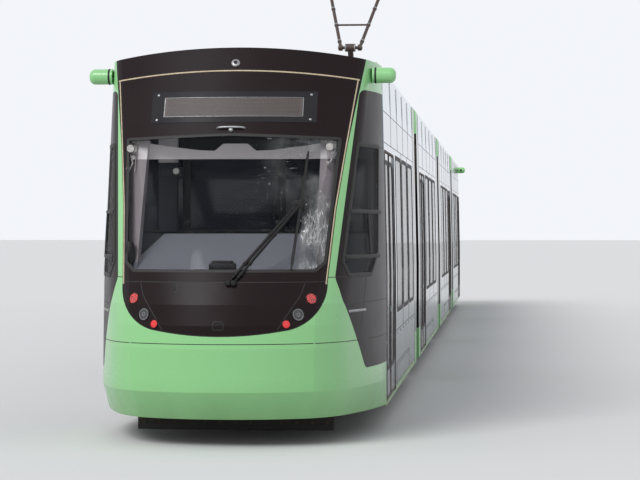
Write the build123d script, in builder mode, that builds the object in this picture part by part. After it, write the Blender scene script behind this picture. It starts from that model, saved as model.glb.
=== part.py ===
from build123d import *
import os

# A four-section low-floor tram with a cab at each end and one two-axle bogie under each section.
# Millimetres. Y is the long axis, the photographed end is at minus Y, Z = 0 is the lowest point
# of the wheel flanges, X is across.

# Driving dimensions of the whole car
length = 37000
tip = length / 2
pitch = 9000
half_gap = 380
half_width = 1325
lean_in = 33
wall = 60
skirt_z = 230
lean_z = 1450
cant_z = 3040
roof_z = 3500
rim_drop = 60
seam = 6

# Floor and articulation
floor_z = 350
floor_t = 90
cab_sheet_z = 340
cab_floor_z = 450
high_floor_z = 520
high_floor_t = 70
bogie_zone = 1560
housing_in = 672
housing_l = 800
housing_h = 260
turntable_r = 900
turntable_gap = 8
pin_r = 60
tongue_w = 520
tongue_t = 45
end_frame_t = 50
passage_half = 640
passage_z = 2380

# Bellows
bellows_in = 70
bellows_t = 60
bellows_low = 230
bellows_high = 3080

# Bogie and wheels
wheel_r = 300
flange_r = 325
wheel_x = 750
wheel_w = 120
axle_r = 62
axle_end = 840
wheelbase = 1800
axle_z = flange_r
journal_gap = 0.4
beam_x = 560
beam_w = 110
brake_w = 90
brake_l = 960
brake_h = 80
brake_z = 110

# Openings in the side walls. The doorway of an end section starts just behind the cab, that of a
# middle section the same way in from its outer end, and the windows share what is left.
door_w = 1620
door_top = 2660
door_z = 262
cab_to_door = 90
end_to_door = 780
door_to_window = 360
window_gap = 240
window_end = {1: 860, 2: 1220}
door_pane_side = 95
door_pane_low = 300
door_pane_high = 100
window_top = 2660
window_sill = 1060
window_r = 70
pane_t = 14

# Cab
cab_length = 2200
cab_t = 60
crown_z = 3575
crown_side = 3443
screen_t = 18
liner_gap = 25
desk_in = 330
desk_top = 1870
desk_sill = 1500
desk_depth = 900
visor_in = 1260
visor_low = 2550
post_w = 150
post_in = 385
guard_in = 1250
guard_low = 110

# Current collector on the second section: pivot, knee and head in the Y-Z plane
foot_y = -1300
foot_z = 3480
knee_y = -2650
knee_z = 4770
head_y = -1250
head_z = 5900
arm_r = 45
tube_r = 26
pin_small = 25
pin_gap = 0.4

top_half_width = half_width - lean_in
inner_x = top_half_width - wall
rim_z = roof_z - rim_drop
cab_y = tip - cab_length
bellows_x = half_width - bellows_in
crown_x = half_width + 50
underside_z = floor_z - floor_t
housing_low = high_floor_z - high_floor_t + 30
os.makedirs("parts", exist_ok=True)


def save(part, label):
    part.label = label
    export_step(part, "parts/" + label + ".step")


def save_both(part, label):
    # The other end of the car has the same piece, turned half round
    save(part, label + "_1")
    save(part.rotate(Axis.Z, 180), label + "_4")


# The four sections: sign of the outer end, end positions and the centre of the bogie.
# A middle section has a gap at both ends. Every section is drawn at its own place.
sections = [
    {"n": 1, "y0": -cab_y, "y1": -pitch - half_gap, "cab": -1},
    {"n": 2, "y0": -pitch + half_gap, "y1": -half_gap, "cab": 0},
    {"n": 3, "y0": half_gap, "y1": pitch - half_gap, "cab": 0},
    {"n": 4, "y0": pitch + half_gap, "y1": cab_y, "cab": 1},
]

# Seats: distance of each backrest from the bogie towards the nearer end of the car, and its facing
seat_w = 840
seat_rows = [
    {"off": 830, "face": 1},
    {"off": -620, "face": 1},
    {"off": -790, "face": -1},
    {"off": -2170, "face": -1},
]

# Boxes on the roof between the fairings: distance from the bogie, size and height
roof_boxes = [
    {"n": 1, "off": 1400, "ly": 2300, "lx": 1700, "h": 330},
    {"n": 1, "off": -1500, "ly": 1700, "lx": 1500, "h": 260},
    {"n": 2, "off": 2400, "ly": 1900, "lx": 1700, "h": 300},
    {"n": 2, "off": 150, "ly": 1300, "lx": 1400, "h": 230},
]


def wall_profile(side):
    # Cross-section of one flank: upright to the belt, then leaning in a little
    return [
        (side * half_width, skirt_z),
        (side * half_width, lean_z),
        (side * top_half_width, cant_z),
        (side * (top_half_width - 14), rim_z),
        (side * (top_half_width - 60), roof_z),
        (side * (inner_x - 40), roof_z),
        (side * (inner_x - 14), rim_z),
        (side * inner_x, cant_z + 120),
        (side * inner_x, floor_z - floor_t),
        (side * (half_width - 40), floor_z - floor_t),
        (side * (half_width - 40), skirt_z),
    ]


for s in sections:
    n = s["n"]
    kind = 1 if s["cab"] else 2
    sgn = -1 if n < 3 else 1
    y0 = s["y0"]
    y1 = s["y1"]
    mid = (y0 + y1) / 2
    run = y1 - y0
    by = mid
    # Doorway and windows, as distances from the middle of the car along Y
    outer_end = max(abs(y0), abs(y1))
    inner_end = min(abs(y0), abs(y1))
    door_out = outer_end - (cab_to_door if s["cab"] else end_to_door)
    door_mid = sgn * (door_out - door_w / 2)
    first = door_out - door_w - door_to_window
    last = inner_end + window_end[kind]
    window_w = (first - last - 2 * window_gap) / 3
    window_mids = [sgn * (first - window_w / 2 - i * (window_w + window_gap)) for i in range(3)]
    leaf_w = door_w / 2
    pane_w = leaf_w - 2 * door_pane_side
    pane_h = door_top - door_pane_high - door_z - door_pane_low
    pane_z = door_z + door_pane_low + pane_h / 2
    # Ends that open to a neighbour: the place and the way out
    gates = []
    if n > 1:
        gates.append((y0, -1))
    if n < 4:
        gates.append((y1, 1))

    # Side walls with their door and window openings, and the end frames round the passage
    with BuildPart() as shell:
        for side in (-1, 1):
            with BuildSketch(Plane.XZ.offset(-y1)):
                with BuildLine():
                    Polyline(*wall_profile(side), close=True)
                make_face()
            extrude(amount=run)
        for gy, out in gates:
            with BuildSketch(Plane.XZ.offset(-(gy if out > 0 else gy + end_frame_t))):
                with Locations((0, (floor_z + cant_z) / 2)):
                    Rectangle(2 * inner_x + 2, cant_z - floor_z)
                with Locations((0, (floor_z + passage_z) / 2 - 25)):
                    Rectangle(2 * passage_half, passage_z - floor_z + 50, mode=Mode.SUBTRACT)
            extrude(amount=end_frame_t)
        with BuildSketch(Plane.YZ.offset(-half_width - 100)):
            with Locations((door_mid, (door_z + door_top) / 2)):
                Rectangle(door_w, door_top - door_z)
            for c in window_mids:
                with Locations((c, (window_sill + window_top) / 2)):
                    RectangleRounded(window_w, window_top - window_sill, window_r)
        extrude(amount=2 * half_width + 200, mode=Mode.SUBTRACT)
    save(shell.part, "shell_%d" % n)

    # Low floor, raised over the bogie, with housings over the wheels and half of each articulation
    with BuildPart() as floor:
        low = [(y0, by - bogie_zone), (by + bogie_zone, y1)]
        for a, b in low:
            with Locations((0, (a + b) / 2, floor_z - floor_t / 2)):
                Box(2 * inner_x, b - a, floor_t)
        with Locations((0, by, high_floor_z - high_floor_t / 2)):
            Box(2 * inner_x, 2 * bogie_zone, high_floor_t)
        for q in (-1, 1):
            with Locations((0, by + q * (bogie_zone - 20), (floor_z - floor_t + high_floor_z) / 2)):
                Box(2 * inner_x, 40, high_floor_z - floor_z + floor_t)
        for side in (-1, 1):
            for q in (-1, 1):
                hy = by + q * wheelbase / 2
                with Locations((side * (inner_x - housing_in / 2), hy, housing_low + housing_h / 2)):
                    Box(housing_in, housing_l, housing_h)
                with Locations((side * (wheel_x + 20), hy, housing_low + housing_h / 2 - 40)):
                    Box(wheel_w + 170, housing_l - 80, housing_h + 10, mode=Mode.SUBTRACT)
        # Only the section ahead of each pivot carries the turntable, the one behind has the tongue
        for gy, out in gates:
            py = gy + out * half_gap
            if out < 0:
                with Locations((0, py, floor_z - 30)):
                    Cylinder(turntable_r, 60)
                with Locations((0, py, floor_z - 60 - 55)):
                    Cylinder(pin_r, 110)
            else:
                with Locations((0, py, floor_z - floor_t / 2)):
                    Cylinder(turntable_r + turntable_gap, floor_t + 1, mode=Mode.SUBTRACT)
                with Locations((0, (py - 1250 + py) / 2, floor_z - floor_t - tongue_t / 2)):
                    Box(tongue_w, 1250, tongue_t)
                with Locations((0, py, floor_z - floor_t - tongue_t / 2)):
                    Cylinder(tongue_w / 2, tongue_t)
                    Cylinder(pin_r + journal_gap, tongue_t + 2, mode=Mode.SUBTRACT)
        if s["cab"]:
            # A sheet under the driver's platform
            with Locations((0, s["cab"] * (cab_y + 600), (underside_z + cab_sheet_z) / 2)):
                Box(1900, 1200, cab_sheet_z - underside_z)
            # Guard plate ahead of the wheels
            with Locations((0, s["cab"] * (tip - guard_in), (guard_low + underside_z) / 2)):
                Box(1800, 40, underside_z - guard_low)
    save(floor.part, "floor_%d" % n)

    # Ceiling and roof as one closed box between the walls, with the gear housings on it
    with BuildPart() as roof:
        with Locations((0, mid, (door_top + 30 + cant_z) / 2)):
            Box(2 * inner_x, run, cant_z - door_top - 30)
        for gy, out in gates:
            with Locations((0, gy - out * end_frame_t / 2, (door_top + 30 + cant_z) / 2)):
                Box(2 * inner_x + 4, end_frame_t, cant_z - door_top, mode=Mode.SUBTRACT)
        for r in [r for r in roof_boxes if r["n"] == kind]:
            with BuildSketch(Plane.XY.offset(cant_z)):
                with Locations((0, by + sgn * r["off"])):
                    RectangleRounded(r["lx"], r["ly"], 60)
            extrude(amount=r["h"])
    save(roof.part, "roof_%d" % n)

    # Door leaves: two to a doorway, as thick as the wall, each with its window cut
    door_x = half_width - 8
    door_top_x = door_x - lean_in * (door_top - lean_z) / (cant_z - lean_z)
    with BuildPart() as leaves:
        for side in (-1, 1):
            for q in (-1, 1):
                leaf_end = door_mid + q * leaf_w / 2 + leaf_w / 2 - seam / 2
                with BuildSketch(Plane.XZ.offset(-leaf_end)):
                    with BuildLine():
                        Polyline(
                            (side * door_x, door_z),
                            (side * door_x, lean_z),
                            (side * door_top_x, door_top),
                            (side * (inner_x + 4), door_top),
                            (side * (inner_x + 4), door_z),
                            close=True,
                        )
                    make_face()
                extrude(amount=leaf_w - seam)
        with BuildSketch(Plane.YZ.offset(-half_width - 100)):
            with Locations((door_mid - leaf_w / 2, pane_z), (door_mid + leaf_w / 2, pane_z)):
                RectangleRounded(pane_w, pane_h, window_r)
        extrude(amount=2 * half_width + 200, mode=Mode.SUBTRACT)
    save(leaves.part, "doors_%d" % n)

    # Glass of the side windows and of the door leaves
    with BuildPart() as glass:
        for side in (-1, 1):
            with BuildSketch(Plane.YZ.offset(side * (inner_x + wall / 2) - pane_t / 2)):
                for c in window_mids:
                    with Locations((c, (window_sill + window_top) / 2)):
                        RectangleRounded(window_w, window_top - window_sill, window_r)
                with Locations((door_mid - leaf_w / 2, pane_z), (door_mid + leaf_w / 2, pane_z)):
                    RectangleRounded(pane_w, pane_h, window_r)
            extrude(amount=pane_t)
    save(glass.part, "glass_%d" % n)

    # Bogie: two side beams with the axle bearings, a cross beam and the bolster under the floor
    with BuildPart() as bogie:
        for side in (-1, 1):
            with Locations((side * beam_x, by, axle_z)):
                Box(beam_w, wheelbase + 320, 190)
        with Locations((0, by, axle_z)):
            Box(2 * beam_x, 520, 150)
        with Locations((0, by, (axle_z + 70 + high_floor_z - high_floor_t) / 2)):
            Cylinder(380, high_floor_z - high_floor_t - axle_z - 70)
        # Track brakes between the wheels, hung from the side beams
        for side in (-1, 1):
            with Locations((side * wheel_x, by, brake_z)):
                Box(brake_w, brake_l, brake_h)
            for q in (-1, 1):
                with Locations((side * (beam_x + wheel_x) / 2, by + q * brake_l / 3, axle_z - 60)):
                    Box(wheel_x - beam_x + brake_w, 60, 70)
                with Locations((side * wheel_x, by + q * brake_l / 3, (brake_z + axle_z - 60) / 2)):
                    Box(brake_w - 20, 60, axle_z - 60 - brake_z)
        for q in (-1, 1):
            with Locations(Location((0, by + q * wheelbase / 2, axle_z), (0, 90, 0))):
                Cylinder(axle_r + journal_gap, 2 * beam_x + beam_w + 20, mode=Mode.SUBTRACT)
    save(bogie.part, "bogie_%d" % n)

    # Wheelsets: one axle with its two flanged wheels
    for k, q in ((1, -1), (2, 1)):
        ay = by + q * wheelbase / 2
        with BuildPart() as wheelset:
            with BuildSketch(Plane.XZ.offset(-ay)):
                with BuildLine():
                    Polyline(
                        (-axle_end, axle_z),
                        (-axle_end, axle_z + axle_r),
                        (-wheel_x - 62, axle_z + axle_r),
                        (-wheel_x - 62, axle_z + 110),
                        (-wheel_x - 20, axle_z + 120),
                        (-wheel_x - 20, axle_z + 235),
                        (-wheel_x - 70, axle_z + 245),
                        (-wheel_x - 70, axle_z + wheel_r),
                        (-wheel_x + 34, axle_z + wheel_r),
                        (-wheel_x + 42, axle_z + flange_r),
                        (-wheel_x + 56, axle_z + flange_r),
                        (-wheel_x + 66, axle_z + wheel_r - 6),
                        (-wheel_x + 66, axle_z + 245),
                        (-wheel_x + 10, axle_z + 235),
                        (-wheel_x + 10, axle_z + 120),
                        (-wheel_x + 62, axle_z + 110),
                        (-wheel_x + 62, axle_z + axle_r),
                        (0, axle_z + axle_r),
                        (0, axle_z),
                        close=True,
                    )
                make_face()
            revolve(axis=Axis((0, ay, axle_z), (1, 0, 0)), revolution_arc=360)
            mirror(about=Plane.YZ)
        save(wheelset.part, "wheelset_%d_%d" % (n, k))

    # Seats: pairs on each side of the aisle on one plinth each, back to back or face to face
    with BuildPart() as seats:
        for r in seat_rows:
            sy = by + sgn * r["off"]
            f = sgn * r["face"]
            base = high_floor_z if abs(r["off"]) < bogie_zone - 250 else floor_z
            for side in (-1, 1):
                cx = side * (inner_x - 32 - seat_w / 2)
                with BuildSketch(Plane.YZ.offset(cx - seat_w / 2)):
                    with BuildLine():
                        Polyline(
                            (sy, base + 430),
                            (sy - f * 20, base + 980),
                            (sy - f * 75, base + 980),
                            (sy - f * 75, base + 360),
                            (sy - f * 40, base + 360),
                            (sy - f * 40, base + 340),
                            (sy + f * 430, base + 340),
                            (sy + f * 430, base + 430),
                            close=True,
                        )
                    make_face()
                extrude(amount=seat_w)
                with Locations((cx, sy + f * 180, base + 170)):
                    Box(400, 300, 340)
        # The wheel housings stand in the plinths' place
        for side in (-1, 1):
            for q in (-1, 1):
                hy = by + q * wheelbase / 2
                with Locations((side * (inner_x - housing_in / 2), hy, housing_low + housing_h / 2)):
                    Box(housing_in, housing_l, housing_h, mode=Mode.SUBTRACT)
    save(seats.part, "seats_%d" % n)

# Bellows between the sections: a frame that follows the bodies' outline, from end frame to end frame
for k, py in ((1, -pitch), (2, 0), (3, pitch)):
    with BuildPart() as bellows:
        with BuildSketch(Plane.XZ.offset(-(py + half_gap))):
            with Locations((0, (bellows_low + bellows_high) / 2)):
                RectangleRounded(2 * bellows_x, bellows_high - bellows_low, 120)
                RectangleRounded(
                    2 * (bellows_x - bellows_t), bellows_high - bellows_low - 2 * bellows_t, 60,
                    mode=Mode.SUBTRACT,
                )
        extrude(amount=2 * half_gap)
        with Locations((0, py, floor_z - 60)):
            Box(1400, 3 * half_gap, 300, mode=Mode.SUBTRACT)
    save(bellows.part, "bellows_%d" % k)

# Cab body: plan sections by height. front is how far the middle of the front lies behind the tip,
# the corner of the front and a bend of the curved side are given as back from the tip and in from
# the full half-width, and rear_in is how far in the side ends at the side wall.
plans = [
    {"z": 250, "front": 330, "back1": 640, "in1": 425, "back2": 1440, "in2": 130, "rear_in": 0},
    {"z": 500, "front": 100, "back1": 440, "in1": 375, "back2": 1320, "in2": 85, "rear_in": 0},
    {"z": 880, "front": 10, "back1": 394, "in1": 368, "back2": 1320, "in2": 88, "rear_in": 0},
    {"z": 1080, "front": 0, "back1": 400, "in1": 365, "back2": 1320, "in2": 90, "rear_in": 0},
    {"z": 1260, "front": 38, "back1": 430, "in1": 352, "back2": 1330, "in2": 92, "rear_in": 0},
    {"z": 1450, "front": 130, "back1": 510, "in1": 340, "back2": 1340, "in2": 93, "rear_in": 0},
    {"z": 3640, "front": 1362, "back1": 1676, "in1": 136, "back2": 1912, "in2": 89, "rear_in": 52},
]


# The front turns into the side over this much of the side, and half as much of the front
corner_along = 300


def on_circle(p, q, r, along):
    # X of the circle through three points of a plan at a place along the car, on the outer side
    d = 2 * (p[0] * (q[1] - r[1]) + q[0] * (r[1] - p[1]) + r[0] * (p[1] - q[1]))
    sums = [c[0] ** 2 + c[1] ** 2 for c in (p, q, r)]
    cx = (sums[0] * (q[1] - r[1]) + sums[1] * (r[1] - p[1]) + sums[2] * (p[1] - q[1])) / d
    cy = (sums[0] * (r[0] - q[0]) + sums[1] * (p[0] - r[0]) + sums[2] * (q[0] - p[0])) / d
    size = (p[0] - cx) ** 2 + (p[1] - cy) ** 2
    return cx + (size - (along - cy) ** 2) ** 0.5


# The cab is a skin between two such bodies: set is how far each outline lies inside the outer one
layers = [
    {"name": "outer", "set": 0},
    {"name": "inner", "set": cab_t},
    {"name": "skin", "set": screen_t},
    {"name": "liner", "set": cab_t + liner_gap},
]

# Regions of the front seen from ahead, as X and Z
# The mask's lower edge is one shallow arc with a tight arc at each end, the rest is straight
mask_foot = (0, 990)
mask_sag = (300, 1004)
mask_turn = (600, 1045)
mask_bend = (790, 1150)
mask_side = (905, 1430)
mask_edge = [(960, 2100), (1035, 2680), (1163, 3440), (1190, 3660)]
screen_low = (800, 1548)
screen_side = (880, 1620)
screen_top = (968, 2725)
screen_r = 60
# The cab side panel and its window seen from the flank, as distance behind the tip and Z
panel_outline = [(2300, 3190), (1440, 3190), (550, 1480), (600, 1280), (1120, 660), (2300, 660)]
panel_r = 110
side_window = [(1860, 2680), (1245, 2680), (700, 1620), (760, 1500), (1360, 1500), (1650, 1700)]
side_window_r = 60

# Round lamps of the front: place on the face and radius
lamp_table = [
    {"x": 778, "z": 1310, "r": 47},
    {"x": 673, "z": 1174, "r": 52},
    {"x": 575, "z": 1093, "r": 34},
]
# Camera housings on the upper corners
pod_x = half_width + 5
pod_y = tip - 1720
pod_z = 3340
pod_r = 72
pod_l = 220
# Wiper: foot, elbow and both ends of the blade on the face, as X and Z, and its stand-off
wiper_points = {"foot": (120, 1447), "elbow": (660, 2116), "low": (603, 1560), "high": (698, 2600)}
wiper_off = 26
rod_r = 7


def face_y(x, z):
    # How far out the front face lies at a point seen from ahead
    i = 1
    while i < len(plans) - 1 and plans[i]["z"] < z:
        i = i + 1
    p = plans[i - 1]
    q = plans[i]
    f = (z - p["z"]) / (q["z"] - p["z"])
    front = p["front"] + f * (q["front"] - p["front"])
    x1 = half_width - p["in1"] - f * (q["in1"] - p["in1"])
    sag = p["back1"] + f * (q["back1"] - p["back1"]) - front
    r = (x1 * x1 + sag * sag) / (2 * sag)
    return tip - front - r + (r * r - x * x) ** 0.5


# Both ends are alike: the cab is drawn once, at the photographed end, and turned half round
for e in (-1,):
    bodies = {}
    for layer in layers:
        t = layer["set"]
        with BuildPart() as cab:
            for p in plans:
                z = p["z"]
                if t and z < skirt_z + 40:
                    z = z - 10
                corner = (half_width - p["in1"] - t * 0.75, e * (tip - p["back1"] - t))
                front = (0, e * (tip - p["front"] - t))
                bend = (half_width - p["in2"] - t * 0.98, e * (tip - p["back2"] - t * 0.3))
                back = (half_width - p["rear_in"] - t, e * cab_y)
                # The corner is eased by an arc between a point on the front and one on the side
                sag = abs(corner[1] - front[1])
                r = (corner[0] ** 2 + sag ** 2) / (2 * sag)
                ease = min(corner_along, (p["back2"] - p["back1"]) / 2)
                x = corner[0] - ease / 2
                turn1 = (x, front[1] - e * (r - (r * r - x * x) ** 0.5))
                y = corner[1] - e * ease
                turn2 = (on_circle(corner, bend, back, y), y)
                middle = tuple(0.49 * c + 0.255 * (a + b) for a, b, c in zip(turn1, turn2, corner))
                with BuildSketch(Plane.XY.offset(z)):
                    with BuildLine():
                        ThreePointArc((-turn1[0], turn1[1]), front, turn1)
                        ThreePointArc(turn1, middle, turn2)
                        ThreePointArc(turn2, bend, back)
                        Line(back, (-back[0], back[1]))
                        ThreePointArc((-back[0], back[1]), (-bend[0], bend[1]), (-turn2[0], turn2[1]))
                        ThreePointArc((-turn2[0], turn2[1]), (-middle[0], middle[1]), (-turn1[0], turn1[1]))
                    make_face()
            loft(ruled=True)
            # The top is one shallow arch across the cab
            with BuildSketch(Plane.XZ.offset(tip + 100)):
                with BuildLine():
                    ThreePointArc((-crown_x, crown_side - t), (0, crown_z - t), (crown_x, crown_side - t))
                    Polyline((crown_x, crown_side - t), (crown_x, 0), (-crown_x, 0), (-crown_x, crown_side - t))
                make_face()
            extrude(amount=-(cab_length + 200), mode=Mode.INTERSECT)
        bodies[layer["name"]] = cab.part
    outer = bodies["outer"]
    inner = bodies["inner"]
    skin = bodies["skin"]
    liner = bodies["liner"]

    with BuildPart() as mask_cut:
        with BuildSketch(Plane.XZ.offset(tip + 300)):
            with BuildLine():
                ThreePointArc(mask_foot, mask_sag, mask_turn)
                ThreePointArc(mask_turn, mask_bend, mask_side)
                Polyline(mask_side, *mask_edge, (0, mask_edge[-1][1]), mask_foot)
            make_face()
            mirror(about=Plane.YZ)
        extrude(amount=-2200)
    with BuildPart() as screen_cut:
        with BuildSketch(Plane.XZ.offset(tip + 300)) as screen_face:
            with BuildLine():
                Polyline((0, screen_low[1]), screen_low, screen_side, screen_top,
                         (0, screen_top[1] + 35), close=True)
            make_face()
            mirror(about=Plane.YZ)
            fillet([v for v in screen_face.vertices() if abs(v.X) > 900], screen_r)
        extrude(amount=-1800)
    with BuildPart() as panel_cut:
        with BuildSketch(Plane.YZ.offset(-1500)) as panel_face:
            with BuildLine():
                Polyline(*[(e * (tip - y), z) for y, z in panel_outline], close=True)
            make_face()
            fillet([v for v in panel_face.vertices() if abs(v.X) > cab_y + 100], panel_r)
        extrude(amount=3000)
    with BuildPart() as window_cut:
        with BuildSketch(Plane.YZ.offset(-1500)) as window_face:
            with BuildLine():
                Polyline(*[(e * (tip - y), z) for y, z in side_window], close=True)
            make_face()
            fillet(window_face.vertices(), side_window_r)
        extrude(amount=3000)

    body = outer - inner
    pane = outer - skin
    with BuildPart() as lamp_cut:
        for lamp in lamp_table:
            for side in (-1, 1):
                with Locations(Location((side * lamp["x"], e * (tip - 250), lamp["z"]), (90, 0, 0))):
                    Cylinder(lamp["r"], 1000)
    with BuildPart() as pods:
        for side in (-1, 1):
            with Locations(Location((side * pod_x, e * pod_y, pod_z), (0, 90, 0))):
                Cylinder(pod_r, pod_l)
        fillet([c for c in pods.edges().filter_by(GeomType.CIRCLE) if abs(c.center().X) > pod_x], 56)
    green = (body - mask_cut.part - panel_cut.part) + (pods.part - outer)
    black_front = (body & mask_cut.part) - screen_cut.part - panel_cut.part - lamp_cut.part
    black_side = (body & panel_cut.part) - window_cut.part
    save_both(green, "cab_body")
    save_both(Compound(children=[*black_front.solids(), *black_side.solids()]), "cab_mask")
    panes = [*(pane & screen_cut.part).solids(), *(pane & window_cut.part).solids()]
    save_both(Compound(children=panes), "cab_glass")

    lenses = (pane & lamp_cut.part)
    save_both(lenses, "lamps")

    # Driver's place: sloping desk, corner posts, sun visor, seat and the bulkhead behind it
    with BuildPart() as desk:
        with BuildSketch(Plane.YZ.offset(-half_width)):
            with BuildLine():
                Polyline(
                    (e * (tip - desk_in + 200), desk_sill),
                    (e * (tip - desk_in + 200), desk_sill + 20),
                    (e * (tip - desk_in - 200), desk_sill + 60),
                    (e * (tip - desk_in - desk_depth + 180), desk_top),
                    (e * (tip - desk_in - desk_depth), desk_top),
                    (e * (tip - desk_in - desk_depth), desk_sill - 300),
                    (e * (tip - desk_in - desk_depth + 250), desk_sill - 400),
                    (e * (tip - desk_in + 200), desk_sill - 400),
                    close=True,
                )
            make_face()
        extrude(amount=2 * half_width)
    with BuildPart() as desk_front:
        with BuildSketch(Plane.XZ.offset(tip)):
            with BuildLine():
                Polyline(
                    (-820, desk_sill - 400), (-840, desk_sill + 110), (-620, desk_top + 10),
                    (620, desk_top + 10), (840, desk_sill + 110), (820, desk_sill - 400), close=True,
                )
            make_face()
        extrude(amount=-2000)
    with BuildPart() as posts:
        with BuildSketch(Plane.YZ.offset(-half_width)):
            with BuildLine():
                Polyline(
                    (e * (tip - desk_in - 120), desk_sill + 20),
                    (e * (tip - visor_in + 90), visor_low + 170),
                    (e * (tip - visor_in - 20), visor_low + 170),
                    (e * (tip - desk_in - 330), desk_sill + 20),
                    close=True,
                )
            make_face()
        extrude(amount=2 * half_width)
        with Locations((0, e * (tip - 900), (desk_sill + roof_z) / 2)):
            Box(2 * (half_width - post_in - post_w), 2000, roof_z - desk_sill, mode=Mode.SUBTRACT)
    with BuildPart() as visor:
        with BuildSketch(Plane.XZ.offset(-e * (tip - visor_in))):
            with BuildLine():
                Polyline(
                    (0, visor_low), (895, visor_low), (895, visor_low + 160), (640, visor_low + 120),
                    (330, visor_low + 80), (190, visor_low + 75), (110, visor_low + 140),
                    (0, visor_low + 140), close=True,
                )
            make_face()
            mirror(about=Plane.YZ)
        extrude(amount=-e * 45)
    with BuildPart() as seat:
        with Locations((0, e * (tip - desk_in - desk_depth + 350), (cab_floor_z + desk_sill - 400) / 2)):
            Box(1000, 300, desk_sill - 400 - cab_floor_z)
        with Locations((0, e * (cab_y + 25), (cab_floor_z + desk_top) / 2)):
            Box(2 * inner_x, 50, desk_top - cab_floor_z)
        with Locations((0, e * (cab_y + 600), (cab_sheet_z + cab_floor_z) / 2)):
            Box(1900, 1200, cab_floor_z - cab_sheet_z)
        with Locations((0, e * (tip - 1750), (cab_floor_z + 850) / 2)):
            Cylinder(90, 850 - cab_floor_z)
        with Locations((0, e * (tip - 1720), 900)):
            Box(520, 500, 110)
        with Locations((0, e * (tip - 1960), 1200)):
            Box(500, 90, 700)
    cab_inside = (desk.part & desk_front.part & liner) + (posts.part & liner) + (visor.part & liner)
    save_both(cab_inside + seat.part, "cab_desk")

    # Wiper on the windscreen: two parallel rods and the blade
    with BuildPart() as wiper:
        spots = {}
        for name, (x, z) in wiper_points.items():
            spots[name] = Vector(x, e * (face_y(x, z) + wiper_off), z)
        for shift in (0, 46):
            a = spots["foot"] + Vector(-shift, 0, 0)
            b = spots["elbow"] + Vector(-shift * 0.6, 0, 20)
            with BuildSketch(Plane(origin=a, z_dir=b - a)):
                Circle(rod_r)
            extrude(amount=(b - a).length)
            with Locations(Location(a - Vector(0, e * 15, 0), (90, 0, 0))):
                Cylinder(16, 50)
        a = spots["low"]
        b = spots["high"]
        with BuildSketch(Plane(origin=a, z_dir=b - a)):
            Rectangle(16, 16)
        extrude(amount=(b - a).length)
        c = spots["elbow"]
        with Locations(c):
            Box(70, 30, 50)
    save_both(wiper.part - outer, "wiper")

# Current collector: base on four insulators, lower arm, forked upper arm and the head
foot = Vector(0, foot_y, foot_z)
knee = Vector(0, knee_y, knee_z)
head = Vector(0, head_y, head_z)
with BuildPart() as base:
    for x in (-480, 480):
        for y in (-2900, -1000):
            with Locations((x, y, (cant_z + 3360) / 2)):
                Cylinder(55, 3360 - cant_z)
        with Locations((x, -1950, 3390)):
            Box(70, 2100, 60)
    for y in (-2900, -1000, foot_y):
        with Locations((0, y, 3390)):
            Box(960, 70, 60)
    for x in (-200, 200):
        with Locations((x, foot_y, 3475)):
            Box(40, 110, 130)
    with Locations(Location(tuple(foot), (0, 90, 0))):
        Cylinder(pin_small + pin_gap, 500, mode=Mode.SUBTRACT)
save(base.part, "collector_base")

with BuildPart() as lower:
    with BuildSketch(Plane(origin=foot, z_dir=knee - foot)):
        Circle(arm_r)
    extrude(amount=(knee - foot).length)
    with Locations(Location(tuple(foot), (0, 90, 0))):
        Cylinder(60, 340)
        Cylinder(pin_small, 450)
    with Locations(Location(tuple(knee), (0, 90, 0))):
        Cylinder(62, 150)
        Cylinder(pin_small + pin_gap, 400, mode=Mode.SUBTRACT)
save(lower.part, "collector_lower_arm")

with BuildPart() as upper:
    with Locations(Location(tuple(knee), (0, 90, 0))):
        Cylinder(pin_small, 380)
    with Locations(Location(tuple(head), (0, 90, 0))):
        Cylinder(20, 1120)
    for side in (-1, 1):
        a = knee + Vector(side * 150, 0, 0)
        b = head + Vector(side * 450, 0, 0)
        with BuildSketch(Plane(origin=a, z_dir=b - a)):
            Circle(tube_r)
        extrude(amount=(b - a).length)
        with Locations(Location(tuple(a), (0, 90, 0))):
            Cylinder(48, 60)
    m = knee + (head - knee) * 0.36
    with Locations(Location(tuple(m), (0, 90, 0))):
        Cylinder(15, 2 * (150 + 300 * 0.36))
save(upper.part, "collector_upper_arm")

with BuildPart() as strips:
    for side in (-1, 1):
        with Locations(head + Vector(side * 520, 0, 35)):
            Box(26, 380, 110)
    with Locations(Location(tuple(head), (0, 90, 0))):
        Cylinder(20 + pin_gap, 1400, mode=Mode.SUBTRACT)
    for q in (-1, 1):
        with BuildSketch(Plane.XZ.offset(-(head_y + q * 160 + 30))):
            with BuildLine():
                Polyline(
                    (-830, head_z - 60), (-620, head_z + 90), (620, head_z + 90), (830, head_z - 60),
                    (850, head_z - 35), (640, head_z + 130), (-640, head_z + 130), (-850, head_z - 35),
                    close=True,
                )
            make_face()
        extrude(amount=60)
save(strips.part, "collector_head")
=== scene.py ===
import math
import bpy
import bmesh
from mathutils import Vector, Matrix
from mathutils.bvhtree import BVHTree


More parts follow.
